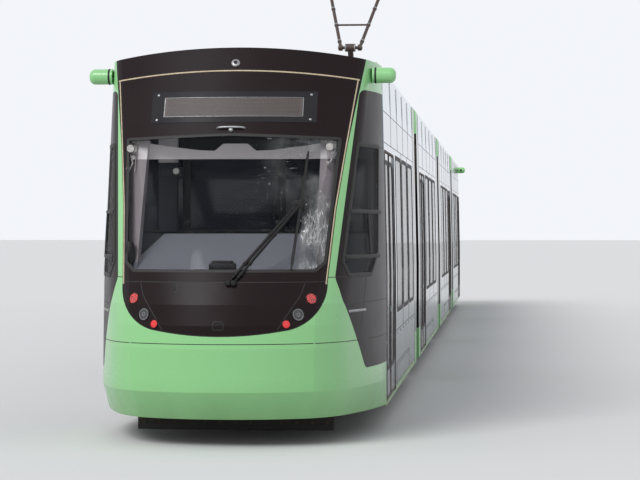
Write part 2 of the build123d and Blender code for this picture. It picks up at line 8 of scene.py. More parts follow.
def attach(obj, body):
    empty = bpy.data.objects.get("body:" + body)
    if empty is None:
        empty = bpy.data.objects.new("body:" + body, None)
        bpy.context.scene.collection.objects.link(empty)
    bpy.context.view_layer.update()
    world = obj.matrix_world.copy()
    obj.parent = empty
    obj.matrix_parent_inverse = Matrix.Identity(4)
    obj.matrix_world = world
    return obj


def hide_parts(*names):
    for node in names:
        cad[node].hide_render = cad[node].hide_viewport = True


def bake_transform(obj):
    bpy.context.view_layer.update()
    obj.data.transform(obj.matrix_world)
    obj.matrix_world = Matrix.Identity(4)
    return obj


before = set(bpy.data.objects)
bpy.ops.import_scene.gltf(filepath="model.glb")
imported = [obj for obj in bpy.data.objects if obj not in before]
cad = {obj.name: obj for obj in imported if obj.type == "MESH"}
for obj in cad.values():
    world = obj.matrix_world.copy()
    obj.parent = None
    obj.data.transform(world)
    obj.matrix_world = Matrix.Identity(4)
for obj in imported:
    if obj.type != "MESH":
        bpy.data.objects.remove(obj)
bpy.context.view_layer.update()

# Bright flank panels. Mirror-coated sheet on the side walls of the four sections, with black end
# panels and green corner blocks beside each articulation and a green skirt edge underneath.


def build(tree, kind, values, **settings):
    """Add a node. Its inputs go by name or number, each with a value or a socket to link from."""
    made = tree.nodes.new(kind)
    for key, value in settings.items():
        setattr(made, key, value)
    for key, value in values.items() if isinstance(values, dict) else enumerate(values):
        feed(tree, made.inputs[key], value)
    return made


def feed(tree, socket, value):
    value = value.socket if isinstance(value, Wire) else value
    if isinstance(value, bpy.types.NodeSocket):
        tree.links.new(value, socket)
    else:
        socket.default_value = value


def operator(operation, swapped=False):
    def work(self, other):
        pair = (other, self) if swapped else (self, other)
        return self.finish.node("ShaderNodeMath", pair, operation=operation)
    return work


class Wire:
    """A node socket that can be added, multiplied and compared like a number."""

    __add__ = __radd__ = operator("ADD")
    __mul__ = __rmul__ = operator("MULTIPLY")
    __sub__, __rsub__ = operator("SUBTRACT"), operator("SUBTRACT", True)
    __truediv__ = operator("DIVIDE")

    def __init__(self, finish, socket):
        self.finish, self.socket = finish, socket

    def __abs__(self):
        return self.finish.node("ShaderNodeMath", [self], operation="ABSOLUTE")

    def clip(self):
        return self.finish.node("ShaderNodeClamp", [self])

    def above(self, edge, width=0.002):
        return ((self - edge) / width + 0.5).clip()

    def below(self, edge, width=0.002):
        return ((edge - self) / width + 0.5).clip()


def tone(colour):
    # A colour as it looks on the screen, from 0 to 255, or a wire that carries one
    if isinstance(colour, Wire):
        return colour
    return tuple(c / 255 / 12.92 if c < 11 else ((c / 255 + 0.055) / 1.055) ** 2.4 for c in colour) + (1.0,)


class Finish:
    """One material on Blender's main shader, with the place on the object to hand."""

    def __init__(self, name, slot=None, **fixed):
        self.slot = slot
        self.mat = bpy.data.materials.new(name)
        self.mat.use_nodes = True
        self.tree = self.mat.node_tree
        self.set(**fixed)
        self.place = self.node("ShaderNodeTexCoord", {}, "Object")
        parts = self.node("ShaderNodeSeparateXYZ", [self.place]).socket.node
        self.x, self.y, self.z = [Wire(self, s) for s in parts.outputs]

    def node(self, kind, values, output=0, **settings):
        return Wire(self, build(self.tree, kind, values, **settings).outputs[output])

    def set(self, **looks):
        for key, value in looks.items():
            feed(self.tree, self.tree.nodes["Principled BSDF"].inputs[key.replace("_", " ")], value)

    def mix(self, factor, a, b):
        return self.node("ShaderNodeMix", {0: factor, 6: tone(a), 7: tone(b)}, 2, data_type="RGBA")

    def noise(self, scale, detail=3.0, stretch=(1, 1, 1)):
        at = self.node("ShaderNodeMapping", {0: self.place, 3: stretch})
        return self.node("ShaderNodeTexNoise", {"Vector": at, "Scale": scale, "Detail": detail})

    def cells(self, scale):
        return self.node("ShaderNodeTexVoronoi", {"Vector": self.place, "Scale": scale})

    def bump(self, height, strength=0.2, distance=0.002):
        relief = {"Strength": strength, "Distance": distance, "Height": height}
        self.set(Normal=self.node("ShaderNodeBump", relief))

    def on(self, start):
        # Put the material on the solids whose names begin like this
        for name in cad:
            if name.startswith(start):
                cad[name].data.materials.clear()
                cad[name].data.materials.append(self.mat)


pitch, half_gap = 9.0, 0.38
green = (141, 203, 136)
band_half, block_top, block_foot, skirt_z, wall_inside = 0.9, 3.15, 0.62, 0.3, 1.262
mirror = Finish("mirror_coating", Specular_IOR_Level=0.2)
# Distance along the car from the nearest articulation, measured within one pitch
along = abs(mirror.node("ShaderNodeMath", [mirror.y, pitch / 2, -pitch / 2], operation="WRAP"))
near = along.below(band_half) * abs(mirror.y).below(pitch + 1.5)
block = (mirror.z.above(block_top) + mirror.z.below(block_foot)).clip() * near
skirt = mirror.z.below(skirt_z)
inside = abs(mirror.x).below(wall_inside)
# Towards the bottom the silver turns brown and rougher in patches: partly road dust, partly a painted
# reflection of the ground.
dust_and_reflection = mirror.noise(0.9, 6.0, (1, 1, 2.5))
low = ((1.2 - mirror.z) * 0.9).clip() * dust_and_reflection
steel = mirror.mix(low * 0.7, (158, 168, 176), (150, 142, 128))
# Above the cant rail the silver is painted bluish: a painted reflection of the sky.
steel = mirror.mix(mirror.z.above(3.043) * 0.7, steel, (172, 192, 206))
look = mirror.mix(near, steel, (27, 23, 24))
look = mirror.mix(block, look, green)
look = mirror.mix(skirt * (1 - near), look, (150, 190, 120))
look = mirror.mix(inside, look, (206, 208, 206))
mirror.set(
    Base_Color=look,
    Metallic=(1 - near) * (1 - skirt) * (1 - inside),
    Roughness=0.06 + dust_and_reflection * 0.05 + low * 0.22 + inside * 0.4 + block * 0.12,
)
mirror.bump(mirror.noise(2.2, 2.0), 0.05, 0.01)
mirror.on("shell_")

# Double doors. Plug-sliding leaves in the same mirror coating, dark along the edges that are not
# coated, with kicked and scuffed sheet at the foot.
leaf = Finish("door_coating")
wear = leaf.noise(1.3, 6.0, (1, 1, 2.5))
kick = ((0.75 - leaf.z) * 2.5).clip() * wear
edge = abs(leaf.x).below(1.26)
coat = leaf.mix(kick * 0.7, (152, 161, 169), (138, 130, 118))
leaf.set(
    Base_Color=leaf.mix(edge, coat, (60, 62, 64)),
    Metallic=1 - edge,
    Roughness=0.06 + wear * 0.06 + kick * 0.3 + edge * 0.4,
)
leaf.on("doors_")

# Window glass. Tinted toughened panes, bonded in the side walls and the door leaves. These are the
# inner panes of the double glazing; the outer ones are a piece of their own.
pane = Finish("tinted_glass", IOR=1.5)
cast = pane.noise(1.4, 3.0)
pane.set(
    Base_Color=pane.mix(cast * 0.5, (20, 22, 25), (34, 37, 40)),
    Roughness=0.02 + cast * 0.02,
    Alpha=0.42 + pane.noise(0.8, 4.0) * 0.08,
)
pane.on("glass_")

# Cab glazing. Clear laminated windscreen and side windows. Road film lies outside the wiper's
# sweep, and the driest corner of the screen is rubbed into fine white scratches.
clear = Finish("cab_glass", IOR=1.5)
film = clear.noise(3.0, 8.0, (1, 1, 1.5))
across = clear.x * (clear.y.below(0, 0.1) * 2 - 1)
front = abs(clear.y).above(17.05, 0.05)
screen_edge = across.below(0.93, 0.06) * front
lines = 0
for tilt, scale in ((0.5, 24.0), (-0.7, 33.0), (0.15, 52.0)):
    at = clear.node("ShaderNodeMapping", {0: clear.place, 2: (0, tilt, 0), 3: (1, 0.2, 0.22)})
    crack = {"Vector": at, "Scale": scale}
    lines = clear.node("ShaderNodeTexVoronoi", crack, feature="DISTANCE_TO_EDGE").below(0.03, 0.05) + lines
patch = ((clear.noise(7.0, 9.0, (1, 1, 0.5)) - 0.3) * 3.0).clip()
rubbed = across.above(0.65, 0.04) * clear.z.below(2.2, 0.35) * screen_edge
marks = (rubbed * patch * (0.34 + lines * 0.3)).clip()
cloud = ((clear.noise(4.0, 9.0) - 0.46) * 3.5).clip() * 0.5
haze = across.above(0.45, 0.4) * clear.z.above(2.25, 0.3) * screen_edge * cloud
spots = clear.noise(34.0, 4.0).above(0.69, 0.03) * across.above(0.1, 0.5) * screen_edge * 0.6
white = (marks + haze + spots).clip()
clear.set(
    Base_Color=clear.mix(white, (28, 33, 40), (232, 232, 232)),
    Alpha=(0.05 + film * 0.08 + marks * 0.85 + haze * 0.6 + spots * 0.5).clip(),
    Roughness=0.02 + white * 0.5,
)
clear.on("cab_glass_")

# Cab body. Green painted glass-fibre moulding: corner pillars, apron and camera housings. Towards
# the foot and through the crease the green turns darker, duller olive and rougher, in streaks.
body = Finish("green_paint", Coat_Weight=0.3, Coat_Roughness=0.08)
green_blotch = body.noise(2.5, 8.0, (1, 1, 0.6))
streak = body.noise(5.0, 6.0, (1, 1, 0.12))
foot = (((0.62 - body.z) * 2.2).clip() * (green_blotch * 0.9 + streak * 0.7)).clip()
paint = body.mix(green_blotch * 0.3, green, (128, 190, 124))
body.set(
    Base_Color=body.mix(foot * 0.6, paint, (106, 132, 88)),
    Roughness=0.2 + green_blotch * 0.12 + foot * 0.35,
)
body.bump(body.noise(60.0, 2.0), 0.03, 0.001)
body.on("cab_body_")

# Mask. Gloss brown-black moulding round the windscreen, the lower lamp panel and the cab side
# panels, hazed with wiped dust.


def two_tone(name, slot, grain, a, b, rough, more, share=1.0, **fixed):
    """A finish that drifts from one colour and roughness to another with its noise."""
    made = Finish(name, slot, **fixed)
    made.drift = made.noise(*grain)
    made.set(Base_Color=made.mix(made.drift * share, a, b), Roughness=rough + made.drift * more)
    return made


mask = two_tone("gloss_black", "mask_black", (2.0, 7.0), (24, 14, 16), (38, 28, 29), 0.26, 0.16, 0.6,
                Specular_IOR_Level=0.13)
mask.on("cab_mask_")

# Lamps. Round plastic lenses set flush in the mask: a red cluster of diodes on top, the clear
# headlamp between and a small red lamp below.
red_lamp, head_lamp, low_lamp = (0.778, 1.310, 0.047), (0.673, 1.174, 0.052), (0.575, 1.093, 0.034)
lens = Finish("lamp_lens", Roughness=0.08, Coat_Weight=1.0, Emission_Strength=0.32)
upper, clear_lamp = [
    abs(abs(lens.x) - x).below(reach, 0.001) * abs(lens.z - z).below(reach, 0.001)
    for x, z, reach in ((*red_lamp[:2], 0.052), (*head_lamp[:2], 0.056))
]
diodes = lens.cells(58.0)
red = lens.mix(upper * diodes.above(0.42, 0.16), (205, 14, 16), (58, 10, 12))
lit = lens.mix(upper * diodes.below(0.2, 0.08), (190, 12, 14), (240, 150, 144))
lens.set(
    Base_Color=lens.mix(clear_lamp, red, (36, 34, 36)),
    Emission_Color=lens.mix(clear_lamp, lit, (0, 0, 0)),
)
lens.on("lamps_")

# Cab interior. Grey moulded desk, pale corner posts and sun visor, dark seat and bulkhead, all of
# plastic with a fine pressed grain.
trim = Finish("moulded_grey", "desk_grey")
grain = trim.noise(240.0, 2.0)
pale = abs(trim.x).above(0.78, 0.002) * trim.z.above(1.62, 0.01)
visor = trim.z.above(2.545, 0.002)
dark = abs(trim.y).below(17.12, 0.004)
tint = trim.mix(pale, (116, 119, 127), (150, 141, 146))
tint = trim.mix(visor, tint, (236, 230, 232))
tint = trim.mix(dark * (1 - visor), tint, (40, 44, 52))
trim.set(Base_Color=tint, Roughness=0.55 + grain * 0.1)
trim.bump(grain, 0.15, 0.001)
trim.on("cab_desk_")

# Seats. Moulded plastic shells, coloured through and finely grained, bolted to plinths in rows
# back to back.
shell = two_tone("seat_shell", None, (180.0, 2.0), (38, 74, 62), (52, 96, 80), 0.5, 0.1, 0.4)
shell.bump(shell.drift, 0.1, 0.001)
shell.on("seats_")

# Floor and underframe. Studded grey flooring glued to the deck above, black underseal sprayed on
# the steel below.
deck = Finish("flooring")
stud = deck.cells(40.0)
upside = deck.mix(deck.noise(3.0, 5.0), (84, 86, 90), (104, 106, 110))
underside = deck.mix(deck.noise(5.0, 7.0), (28, 27, 26), (66, 58, 48))
deck.set(Base_Color=deck.mix(deck.z.below(0.3), upside, underside), Roughness=0.7 + stud * 0.1)
deck.bump(stud, 0.2, 0.001)
deck.on("floor_")

# Roof. Grey non-slip sheet and the gear housings bolted to it, with soot from the overhead line,
# and pale ceiling panels below.
top = Finish("roof_sheet")
soot = top.noise(1.6, 7.0, (1, 0.4, 1))
cover = top.mix(soot * 0.8, (128, 130, 130), (92, 90, 86))
housing = top.mix(soot * 0.7, (186, 188, 186), (140, 138, 132))
cover = top.mix(top.z.above(3.06, 0.01), cover, housing)
top.set(Base_Color=top.mix(top.z.below(2.8), cover, (226, 226, 222)), Roughness=0.5 + soot * 0.25)
top.bump(top.noise(90.0, 2.0), 0.1, 0.001)
top.on("roof_")

# Bogies. Welded steel frames under the wheel housings, painted black, with brown road dust on
# them.
frames = two_tone("bogie_paint", "bogie_black", (9.0, 8.0), (30, 29, 28), (92, 78, 64), 0.6, 0.25)
frames.bump(frames.drift, 0.3, 0.002)
frames.on("bogie_")

# Wheelsets. Forged axles with flanged wheels pressed on, of bare steel with patches of brown
# rust.
wheel = two_tone("wheel_steel", None, (14.0, 8.0), (120, 104, 92), (72, 52, 40), 0.4, 0.35)
wheel.set(Metallic=0.85 - wheel.drift * 0.5)
wheel.bump(wheel.drift, 0.2, 0.001)
wheel.on("wheelset_")

# Current collector. Welded tubes in dark paint, on four insulators on the roof of the second
# section.
arm = two_tone("collector_paint", None, (20.0, 6.0), (52, 40, 36), (78, 62, 54), 0.45, 0.2)
arm.bump(arm.drift, 0.1, 0.001)
arm.on("collector_")

# Wiper. Matt black steel arm with two parallel rods and a rubber blade, on spindles under the
# windscreen.
black = two_tone("matt_black", "wiper_black", (60.0, 4.0), (12, 11, 12), (28, 26, 26), 0.45, 0.15,
                 Specular_IOR_Level=0.3)
black.on("wiper_")

# Joint lines of the cab. The mouldings meet with a narrow rubber-filled gap: round the foot of the
# mask, along the apron, across the corner pillars and round the lamp panels.


def circle(count, start=0.0):
    turns = [2 * math.pi * (k + start) / count for k in range(count)]
    return [(math.cos(a), math.sin(a)) for a in turns]


def band(half, flat, foot, shoulder, top):
    # Cross-section of a strip: upright sides from foot to shoulder, then in to a flat top
    return [(-half, foot), (half, foot), (half, shoulder), (flat, top), (-flat, top), (-half, shoulder)]


def bead(width, height, sunk=0.002):
    # Cross-section of a bead of rubber or trim: a low arch with its foot below the surface
    return band(width / 2, width / 2 * 0.55, -sunk, height * 0.4, height)


def hoop(inner, outer, low, high):
    return [(inner, low), (outer, low), (outer, high), (inner, high)]


def put(mesh, name, numbers, body):
    """Set copies of a mesh on their bodies. Past the middle of the car each is half turned."""
    made = []
    for n in numbers:
        data = mesh.copy()
        data.name = "%s_%d" % (name, n)
        if n > 2:
            data.transform(Matrix.Rotation(math.pi, 4, "Z"))
        piece = bpy.data.objects.new(data.name, data)
        bpy.context.scene.collection.objects.link(piece)
        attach(piece, body % n if "%" in body else body)
        made.append(piece)
    bpy.data.meshes.remove(mesh)
    return made


class Piece:
    """The mesh of one piece, put together from swept, turned and edged shapes."""

    def __init__(self):
        self.mesh = bmesh.new()

    def ring(self, points):
        return [self.mesh.verts.new(p) for p in points]

    def skin(self, rings, closed=False):
        for a, b in zip(rings, rings[1:] + rings[:1] if closed else rings[1:]):
            for i in range(len(a)):
                self.mesh.faces.new((a[i - 1], a[i], b[i], b[i - 1]))
        if not closed:
            self.mesh.faces.new(rings[0])
            self.mesh.faces.new(rings[-1])

    def sweep(self, path, section, closed=False):
        # path: places, each with the direction out of what it lies on. section: across and out.
        rings = []
        last = len(path) - 1
        for i, (at, out) in enumerate(path):
            ahead = path[(i + 1) % len(path) if closed else min(i + 1, last)][0]
            behind = path[i - 1 if closed else max(i - 1, 0)][0]
            run = (ahead - behind).normalized()
            over = run.cross(out).normalized()
            rise = over.cross(run)
            rings.append(self.ring([at + over * u + rise * v for u, v in section]))
        self.skin(rings, closed)

    def tube(self, points, radius, sides=8):
        points = [Vector(p) for p in points]
        out = (points[1] - points[0]).normalized().orthogonal()
        path = []
        for i, at in enumerate(points):
            run = (points[min(i + 1, len(points) - 1)] - points[max(i - 1, 0)]).normalized()
            out = (out - run * out.dot(run)).normalized()
            path.append((at, out))
        self.sweep(path, [(radius * c, radius * s) for c, s in circle(sides)])

    def rod(self, a, b, radius, sides=8):
        self.tube([a, (Vector(a) + Vector(b)) / 2, b], radius, sides)

    def turned(self, at, axis, profile, sides=24, ring=False):
        # profile: radius and height along the axis, from one end to the other, or all round in a ring
        at, axis = Vector(at), Vector(axis).normalized()
        u = axis.orthogonal().normalized()
        spokes = [u * c + axis.cross(u) * s for c, s in circle(sides)]
        self.skin([self.ring([at + axis * h + spoke * r for spoke in spokes]) for r, h in profile], ring)

    def box(self, low, high, edge=0.004):
        size = [b - a for a, b in zip(low, high)]
        middle = [(a + b) / 2 for a, b in zip(low, high)]
        place = Matrix.Translation(middle) @ Matrix.Diagonal((*size, 1))
        made = bmesh.ops.create_cube(self.mesh, size=1, matrix=place)
        edges = list({e for v in made["verts"] for e in v.link_edges})
        bmesh.ops.bevel(self.mesh, geom=edges, offset=edge, segments=2, affect="EDGES", profile=0.5)

    def plate(self, outline, depth):
        self.skin([self.ring(outline), self.ring([Vector(p) + Vector(depth) for p in outline])])

    def hang(self, name, finish, numbers=(1, 4), body="section_%d", slot=None):
        bmesh.ops.recalc_face_normals(self.mesh, faces=self.mesh.faces)
        data = bpy.data.meshes.new(name)
        self.mesh.to_mesh(data)
        self.mesh.free()
        data.shade_smooth()
        data.set_sharp_from_angle(angle=math.radians(38))
        data.materials.append(finish.mat)
        return put(data, name, numbers, body)


points, faces = [], []
for name in ("cab_body_1", "cab_mask_1", "cab_glass_1", "lamps_1"):
    mesh = cad[name].data
    faces += [[len(points) + i for i in p.vertices] for p in mesh.polygons]
    points += [v.co.copy() for v in mesh.vertices]
cab_skin = BVHTree.FromPolygons(points, faces)


def on_skin(start, way):
    # The place where a ray meets the cab, and the direction out of the skin there
    at, out = cab_skin.ray_cast(Vector(start), Vector(way))[:2]
    return at, (out if out.dot(way) < 0 else -out)


def on_front(x, z):
    return on_skin((x, -20, z), (0, 1, 0))


def on_side(side, y, z):
    return on_skin((side * 2, y, z), (-side, 0, 0))


def dense(points, step=0.03):
    # Points along straight runs from corner to corner
    made = [Vector(points[0])]
    for a, b in zip(points, points[1:]):
        a, b = Vector(a), Vector(b)
        count = max(1, round((b - a).length / step))
        made += [a.lerp(b, i / count) for i in range(1, count + 1)]
    return made


def eased(path, rounds=2):
    # Average the directions along a path, so that it doesn't twitch from facet to facet
    for r in range(rounds):
        outs = [out for at, out in path]
        outs = [(a + b + c).normalized() for a, b, c in zip(outs[:1] + outs, outs, outs[1:] + outs[-1:])]
        path = [(place[0], out) for place, out in zip(path, outs)]
    return path


def front_path(points, rounds=2, step=0.03):
    return eased([on_front(x, z) for x, z in dense(points, step)], rounds)


def side_path(side, points, rounds=2):
    return eased([on_side(side, y, z) for y, z in dense(points)], rounds)


def arc(a, b, c, count=14):
    # Points on the circle through three places seen from ahead
    d = 2 * (a[0] * (b[1] - c[1]) + b[0] * (c[1] - a[1]) + c[0] * (a[1] - b[1]))
    sums = [p[0] ** 2 + p[1] ** 2 for p in (a, b, c)]
    x = (sums[0] * (b[1] - c[1]) + sums[1] * (c[1] - a[1]) + sums[2] * (a[1] - b[1])) / d
    z = (sums[0] * (c[0] - b[0]) + sums[1] * (a[0] - c[0]) + sums[2] * (b[0] - a[0])) / d
    r = math.hypot(a[0] - x, a[1] - z)
    start, end = [math.atan2(p[1] - z, p[0] - x) for p in (a, c)]
    turns = [start + (end - start) * i / count for i in range(count + 1)]
    return [(x + r * math.cos(t), z + r * math.sin(t)) for t in turns]


rubber = two_tone("seal_rubber", "bellows_rubber", (18.0, 5.0), (16, 15, 15), (40, 37, 35), 0.5, 0.25)
mask_foot, mask_turn, mask_bend, mask_side = (0, 0.99), (0.6, 1.045), (0.79, 1.15), (0.905, 1.43)
apron_z, pillar_joint_z, hatch_top = 0.922, 1.49, (0.885, 1.452)
half_curve = arc(mask_turn, mask_bend, mask_side)
lower_curve = [(-x, z) for x, z in reversed(half_curve)]
lower_curve += arc((-mask_turn[0], mask_turn[1]), mask_foot, mask_turn)[1:-1] + half_curve
seams = Piece()
gap = bead(0.007, 0.0012)
lines = [lower_curve, [(-1.15, apron_z), (1.15, apron_z)]]
for side in (-1, 1):
    lines.append([(side * 0.72, 1.44), (side * 0.69, 1.34), (side * 0.50, 1.045)])
    lines.append([(side * mask_side[0], pillar_joint_z), (side * 1.16, pillar_joint_z)])
lines.append([(-hatch_top[0], hatch_top[1]), hatch_top])
for line in lines:
    seams.sweep(front_path(line), gap)
for side in (-1, 1):
    for line in (
        [(-17.30, apron_z), (-16.32, apron_z)],
        [(-17.80, 1.255), (-16.33, 1.255)],
        [(-17.0, 2.1), (-17.25, 1.62), (-17.49, 1.06)],
        [(-16.9, 2.676), (-16.33, 2.676)],
    ):
        seams.sweep(side_path(side, line), gap)
seams.hang("cab_joint_lines", rubber)

# Bead along the edge of the mask. It runs up the inner edge of both green pillars and over the
# windscreen along the foot of the roof hood. Its cream colour is a painted highlight: the sun
# glinting on that edge.
bead_glint = two_tone("bead_painted_glint", "desk_grey", (30.0, 6.0), (222, 205, 172), (150, 132, 108), 0.4, 0.2)
mask_rise = [mask_side, (0.96, 2.1), (1.035, 2.68), (1.118, 3.28)]
hood_z, hood_drop, bead_inset = 3.354, 0.059, 0.012
hood = [(x / 20 * 1.118, hood_z - hood_drop * (x / 20 * 1.118) ** 2) for x in range(-20, 21)]
edging = Piece()
for side in (-1, 1):
    edging.sweep(front_path([(side * (x - bead_inset), z) for x, z in mask_rise]), bead(0.013, 0.004))
edging.sweep(front_path(hood), bead(0.014, 0.004))
edging.hang("mask_bead", bead_glint)

# Glazing rubbers of the cab: a flat black band round the windscreen and round both side windows,
# and the frame of the sliding sash in each side window.
screen = [(0, 1.548), (0.800, 1.548), (0.880, 1.620), (0.968, 2.725), (0, 2.760)]
screen += [(-x, z) for x, z in reversed(screen[1:-1])] + screen[:1]
window = [(-16.64, 2.68), (-17.255, 2.68), (-17.80, 1.62), (-17.74, 1.50), (-17.14, 1.50), (-16.85, 1.70)]
sash_high, sash_low, sash_post = 2.07, 1.665, -17.14
sash = [[(-17.56, sash_high), (-16.68, sash_high)], [(-17.76, sash_low), (-16.80, sash_low)],
        [(sash_post, sash_high), (sash_post, sash_low)]]
cab_seals = Piece()
cab_seals.sweep(front_path(screen, 3)[:-1], bead(0.030, 0.004), closed=True)
for side in (-1, 1):
    cab_seals.sweep(side_path(side, window + window[:1], 3)[:-1], bead(0.040, 0.006), closed=True)
    for bar in sash:
        cab_seals.sweep(side_path(side, bar, 3), bead(0.036, 0.012))
cab_seals.hang("cab_glazing_rubber", rubber)

# Step edge below each side window: a bright pressed alloy rail, bonded to the body where a boot
# goes.
alloy = two_tone("dull_alloy", "wheel_steel", (26.0, 6.0, (1, 0.2, 1)), (176, 178, 180), (120, 120, 118),
                 0.3, 0.25, Metallic=0.9)
rail = Piece()
for side in (-1, 1):
    rail.sweep(side_path(side, [(-17.80, 1.185), (-17.36, 1.185)]), bead(0.022, 0.006))
rail.hang("cab_step_edge", alloy)

# Lamp fittings: a black bezel round each lens, the reflector rings inside the headlamp, and the
# round cells of the upper lamp.


class Pattern:
    """A Geometry Nodes tree that sets a small shape on every point of a mesh, turned as the point says."""

    def __init__(self, name, **sizes):
        self.tree = bpy.data.node_groups.new(name, "GeometryNodeTree")
        panel = self.tree.interface
        panel.new_socket("Points", in_out="INPUT", socket_type="NodeSocketGeometry")
        panel.new_socket("Shape", in_out="OUTPUT", socket_type="NodeSocketGeometry")
        self.values = {}
        for key, size in sizes.items():
            label = key.replace("_", " ").capitalize()
            made = panel.new_socket(label, in_out="INPUT", socket_type="NodeSocketFloat")
            self.values[made.identifier] = size
        self.start = self.tree.nodes.new("NodeGroupInput")
        self.sizes = dict(zip(sizes, self.start.outputs[1:]))
        self.parts = []

    def node(self, kind, values, **settings):
        return build(self.tree, kind, values, **settings).outputs[0]

    def disc(self, sides, part="", foot=0.0):
        radius, height = self.sizes[part + "radius"], self.sizes[part + "height"]
        raw = {"Vertices": sides, "Radius": radius, "Depth": height}
        return self.stand(self.node("GeometryNodeMeshCylinder", raw), height, foot)

    def bar(self):
        size = self.node("ShaderNodeCombineXYZ", [self.sizes[k] for k in ("length", "width", "height")])
        return self.stand(self.node("GeometryNodeMeshCube", {"Size": size}), self.sizes["height"], 0.0)

    def stand(self, raw, height, foot):
        # Lift a shape so that it stands on the point, foot above it
        half = self.node("ShaderNodeMath", [height, 0.5], operation="MULTIPLY")
        lift = self.node("ShaderNodeMath", [half, foot], operation="ADD")
        place = self.node("ShaderNodeCombineXYZ", {2: lift})
        self.parts.append(self.node("GeometryNodeTransform", {"Geometry": raw, "Translation": place}))
        return self

    def set_on(self, name, spots, finish, numbers=(1, 4), body="section_%d"):
        """Put the shape on the spots, each a place and a direction, and set the result on its body."""
        join = self.tree.nodes.new("GeometryNodeJoinGeometry")
        for part in self.parts:
            self.tree.links.new(part, join.inputs[0])
        turn = self.node("GeometryNodeInputNamedAttribute", {"Name": "turn"}, data_type="FLOAT_VECTOR")
        turn = self.node("FunctionNodeEulerToRotation", [turn])
        spread = {"Points": self.start.outputs[0], "Instance": join.outputs[0], "Rotation": turn}
        many = self.node("GeometryNodeInstanceOnPoints", spread)
        real = self.node("GeometryNodeRealizeInstances", {"Geometry": many})
        done = self.node("GeometryNodeSetMaterial", {"Geometry": real, "Material": finish.mat})
        self.tree.links.new(done, self.tree.nodes.new("NodeGroupOutput").inputs[0])
        data = bpy.data.meshes.new(name)
        data.from_pydata([at for at, out in spots], [], [])
        turns = data.attributes.new("turn", "FLOAT_VECTOR", "POINT")
        for i, (at, out) in enumerate(spots):
            turns.data[i].vector = Vector(out).to_track_quat("Z", "Y").to_euler()
        base = bpy.data.objects.new(name, data)
        bpy.context.scene.collection.objects.link(base)
        modifier = base.modifiers.new("pattern", "NODES")
        modifier.node_group = self.tree
        for identifier, size in self.values.items():
            modifier[identifier] = size
        graph = bpy.context.evaluated_depsgraph_get()
        plain = bpy.data.meshes.new_from_object(base.evaluated_get(graph), depsgraph=graph)
        base.modifiers.remove(modifier)
        bpy.data.objects.remove(base)
        put(plain, name, numbers, body)


bezels = Piece()
reflectors = Piece()
for side in (-1, 1):
    for x, z, r in (red_lamp, head_lamp, low_lamp):
        at, out = on_front(side * x, z)
        rim = hoop(r + 0.001, r + 0.010, -0.004, 0.002)[:3] + [(r + 0.004, 0.006), (r, 0.002)]
        bezels.turned(at, out, rim, 28, True)
    at, out = on_front(side * head_lamp[0], head_lamp[1])
    for r in (0.0475, 0.014):
        ridge = [(r - 0.003, -0.002), (r + 0.003, -0.002), (r + 0.002, 0.002), (r - 0.002, 0.002)]
        reflectors.turned(at, out, ridge, 28, True)
bezels.hang("lamp_bezels", mask)
reflectors.hang("headlamp_rings", alloy)
cells_red = Finish("lamp_cells", "lamp_red", Roughness=0.15, Coat_Weight=1.0, Emission_Strength=0.4)
tinge = cells_red.noise(300.0, 2.0)
cells_red.set(
    Base_Color=cells_red.mix(tinge, (226, 96, 92), (186, 34, 34)),
    Emission_Color=cells_red.mix(tinge, (214, 40, 40), (240, 116, 108)),
)
cells = []
for side in (-1, 1):
    for r, count in ((0.0, 1), (0.016, 6), (0.032, 11)):
        cells += [on_front(side * red_lamp[0] + r * c, red_lamp[1] + r * s) for c, s in circle(count)]
Pattern("lamp_cell", radius=0.0045, height=0.003).disc(8, foot=-0.001).set_on("lamp_cells", cells, cells_red)

# Front display: a dark glazed box let into the hood over the windscreen, bare of any text. Behind
# its glass is a board with rows of unlit cells, held in clips at both ends.


def sheet_on_front(x0, x1, z0, z1, stand, thick, cols=48, rows=4):
    # A thin plate that follows the front, with its outer face stand proud of the skin
    piece, rings = Piece(), []
    for i in range(cols + 1):
        x = x0 + (x1 - x0) * i / cols
        column = [on_front(x, z0 + (z1 - z0) * j / rows) for j in range(rows + 1)]
        face = [at + out * stand for at, out in column]
        back = [at + out * (stand - thick) for at, out in reversed(column)]
        rings.append(piece.ring(face + back))
    piece.skin(rings)
    return piece


box_glass = two_tone("display_glass", "mask_black", (3.0, 6.0), (24, 22, 26), (38, 36, 40), 0.16, 0.1,
                     Specular_IOR_Level=0.25)
board = two_tone("display_board", "desk_grey", (6.0, 4.0), (74, 66, 64), (92, 84, 80), 0.5, 0.1)
unlit = Finish("unlit_cells", "desk_grey", Roughness=0.3)
unlit.set(Base_Color=unlit.mix(unlit.noise(40.0, 2.0), (50, 45, 44), (62, 56, 52)))
glass_x, glass_low, glass_high = 0.755, 2.872, 3.158
board_x, board_low, board_high, clip_x, sheet_thick = 0.63, 2.925, 3.10, 0.70, 0.006
box = sheet_on_front(-glass_x, glass_x, glass_low, glass_high, 0.0025, sheet_thick)
box.hang("display_glass", box_glass)
back = sheet_on_front(-board_x, board_x, board_low + 0.005, board_high - 0.005, 0.0045, sheet_thick)
back.hang("display_board", board)
clips = Piece()
for side in (-1, 1):
    for z in (glass_low + 0.028, glass_high - 0.028):
        clips.turned(*on_front(side * clip_x, z), [(0.012, 0.0), (0.012, 0.004), (0.006, 0.007)], 12)
    clips.sweep(front_path([(side * board_x, board_low), (side * board_x, board_high)]), bead(0.010, 0.007))
for z in (board_low, board_high):
    clips.sweep(front_path([(-board_x, z), (board_x, z)]), bead(0.006, 0.007))
clips.hang("display_clips", alloy)
cell_w, cell_low, cell_h, cell_cols, cell_rows = 1.2, 2.945, 0.135, 96, 12
cells = []
for i in range(cell_cols):
    for j in range(cell_rows):
        x = -cell_w / 2 + cell_w * i / (cell_cols - 1)
        at, out = on_front(x, cell_low + cell_h * j / (cell_rows - 1))
        cells.append((at + out * 0.004, out))
Pattern("display_cell", radius=0.0038, height=0.0015).disc(6).set_on("display_cells", cells, unlit)

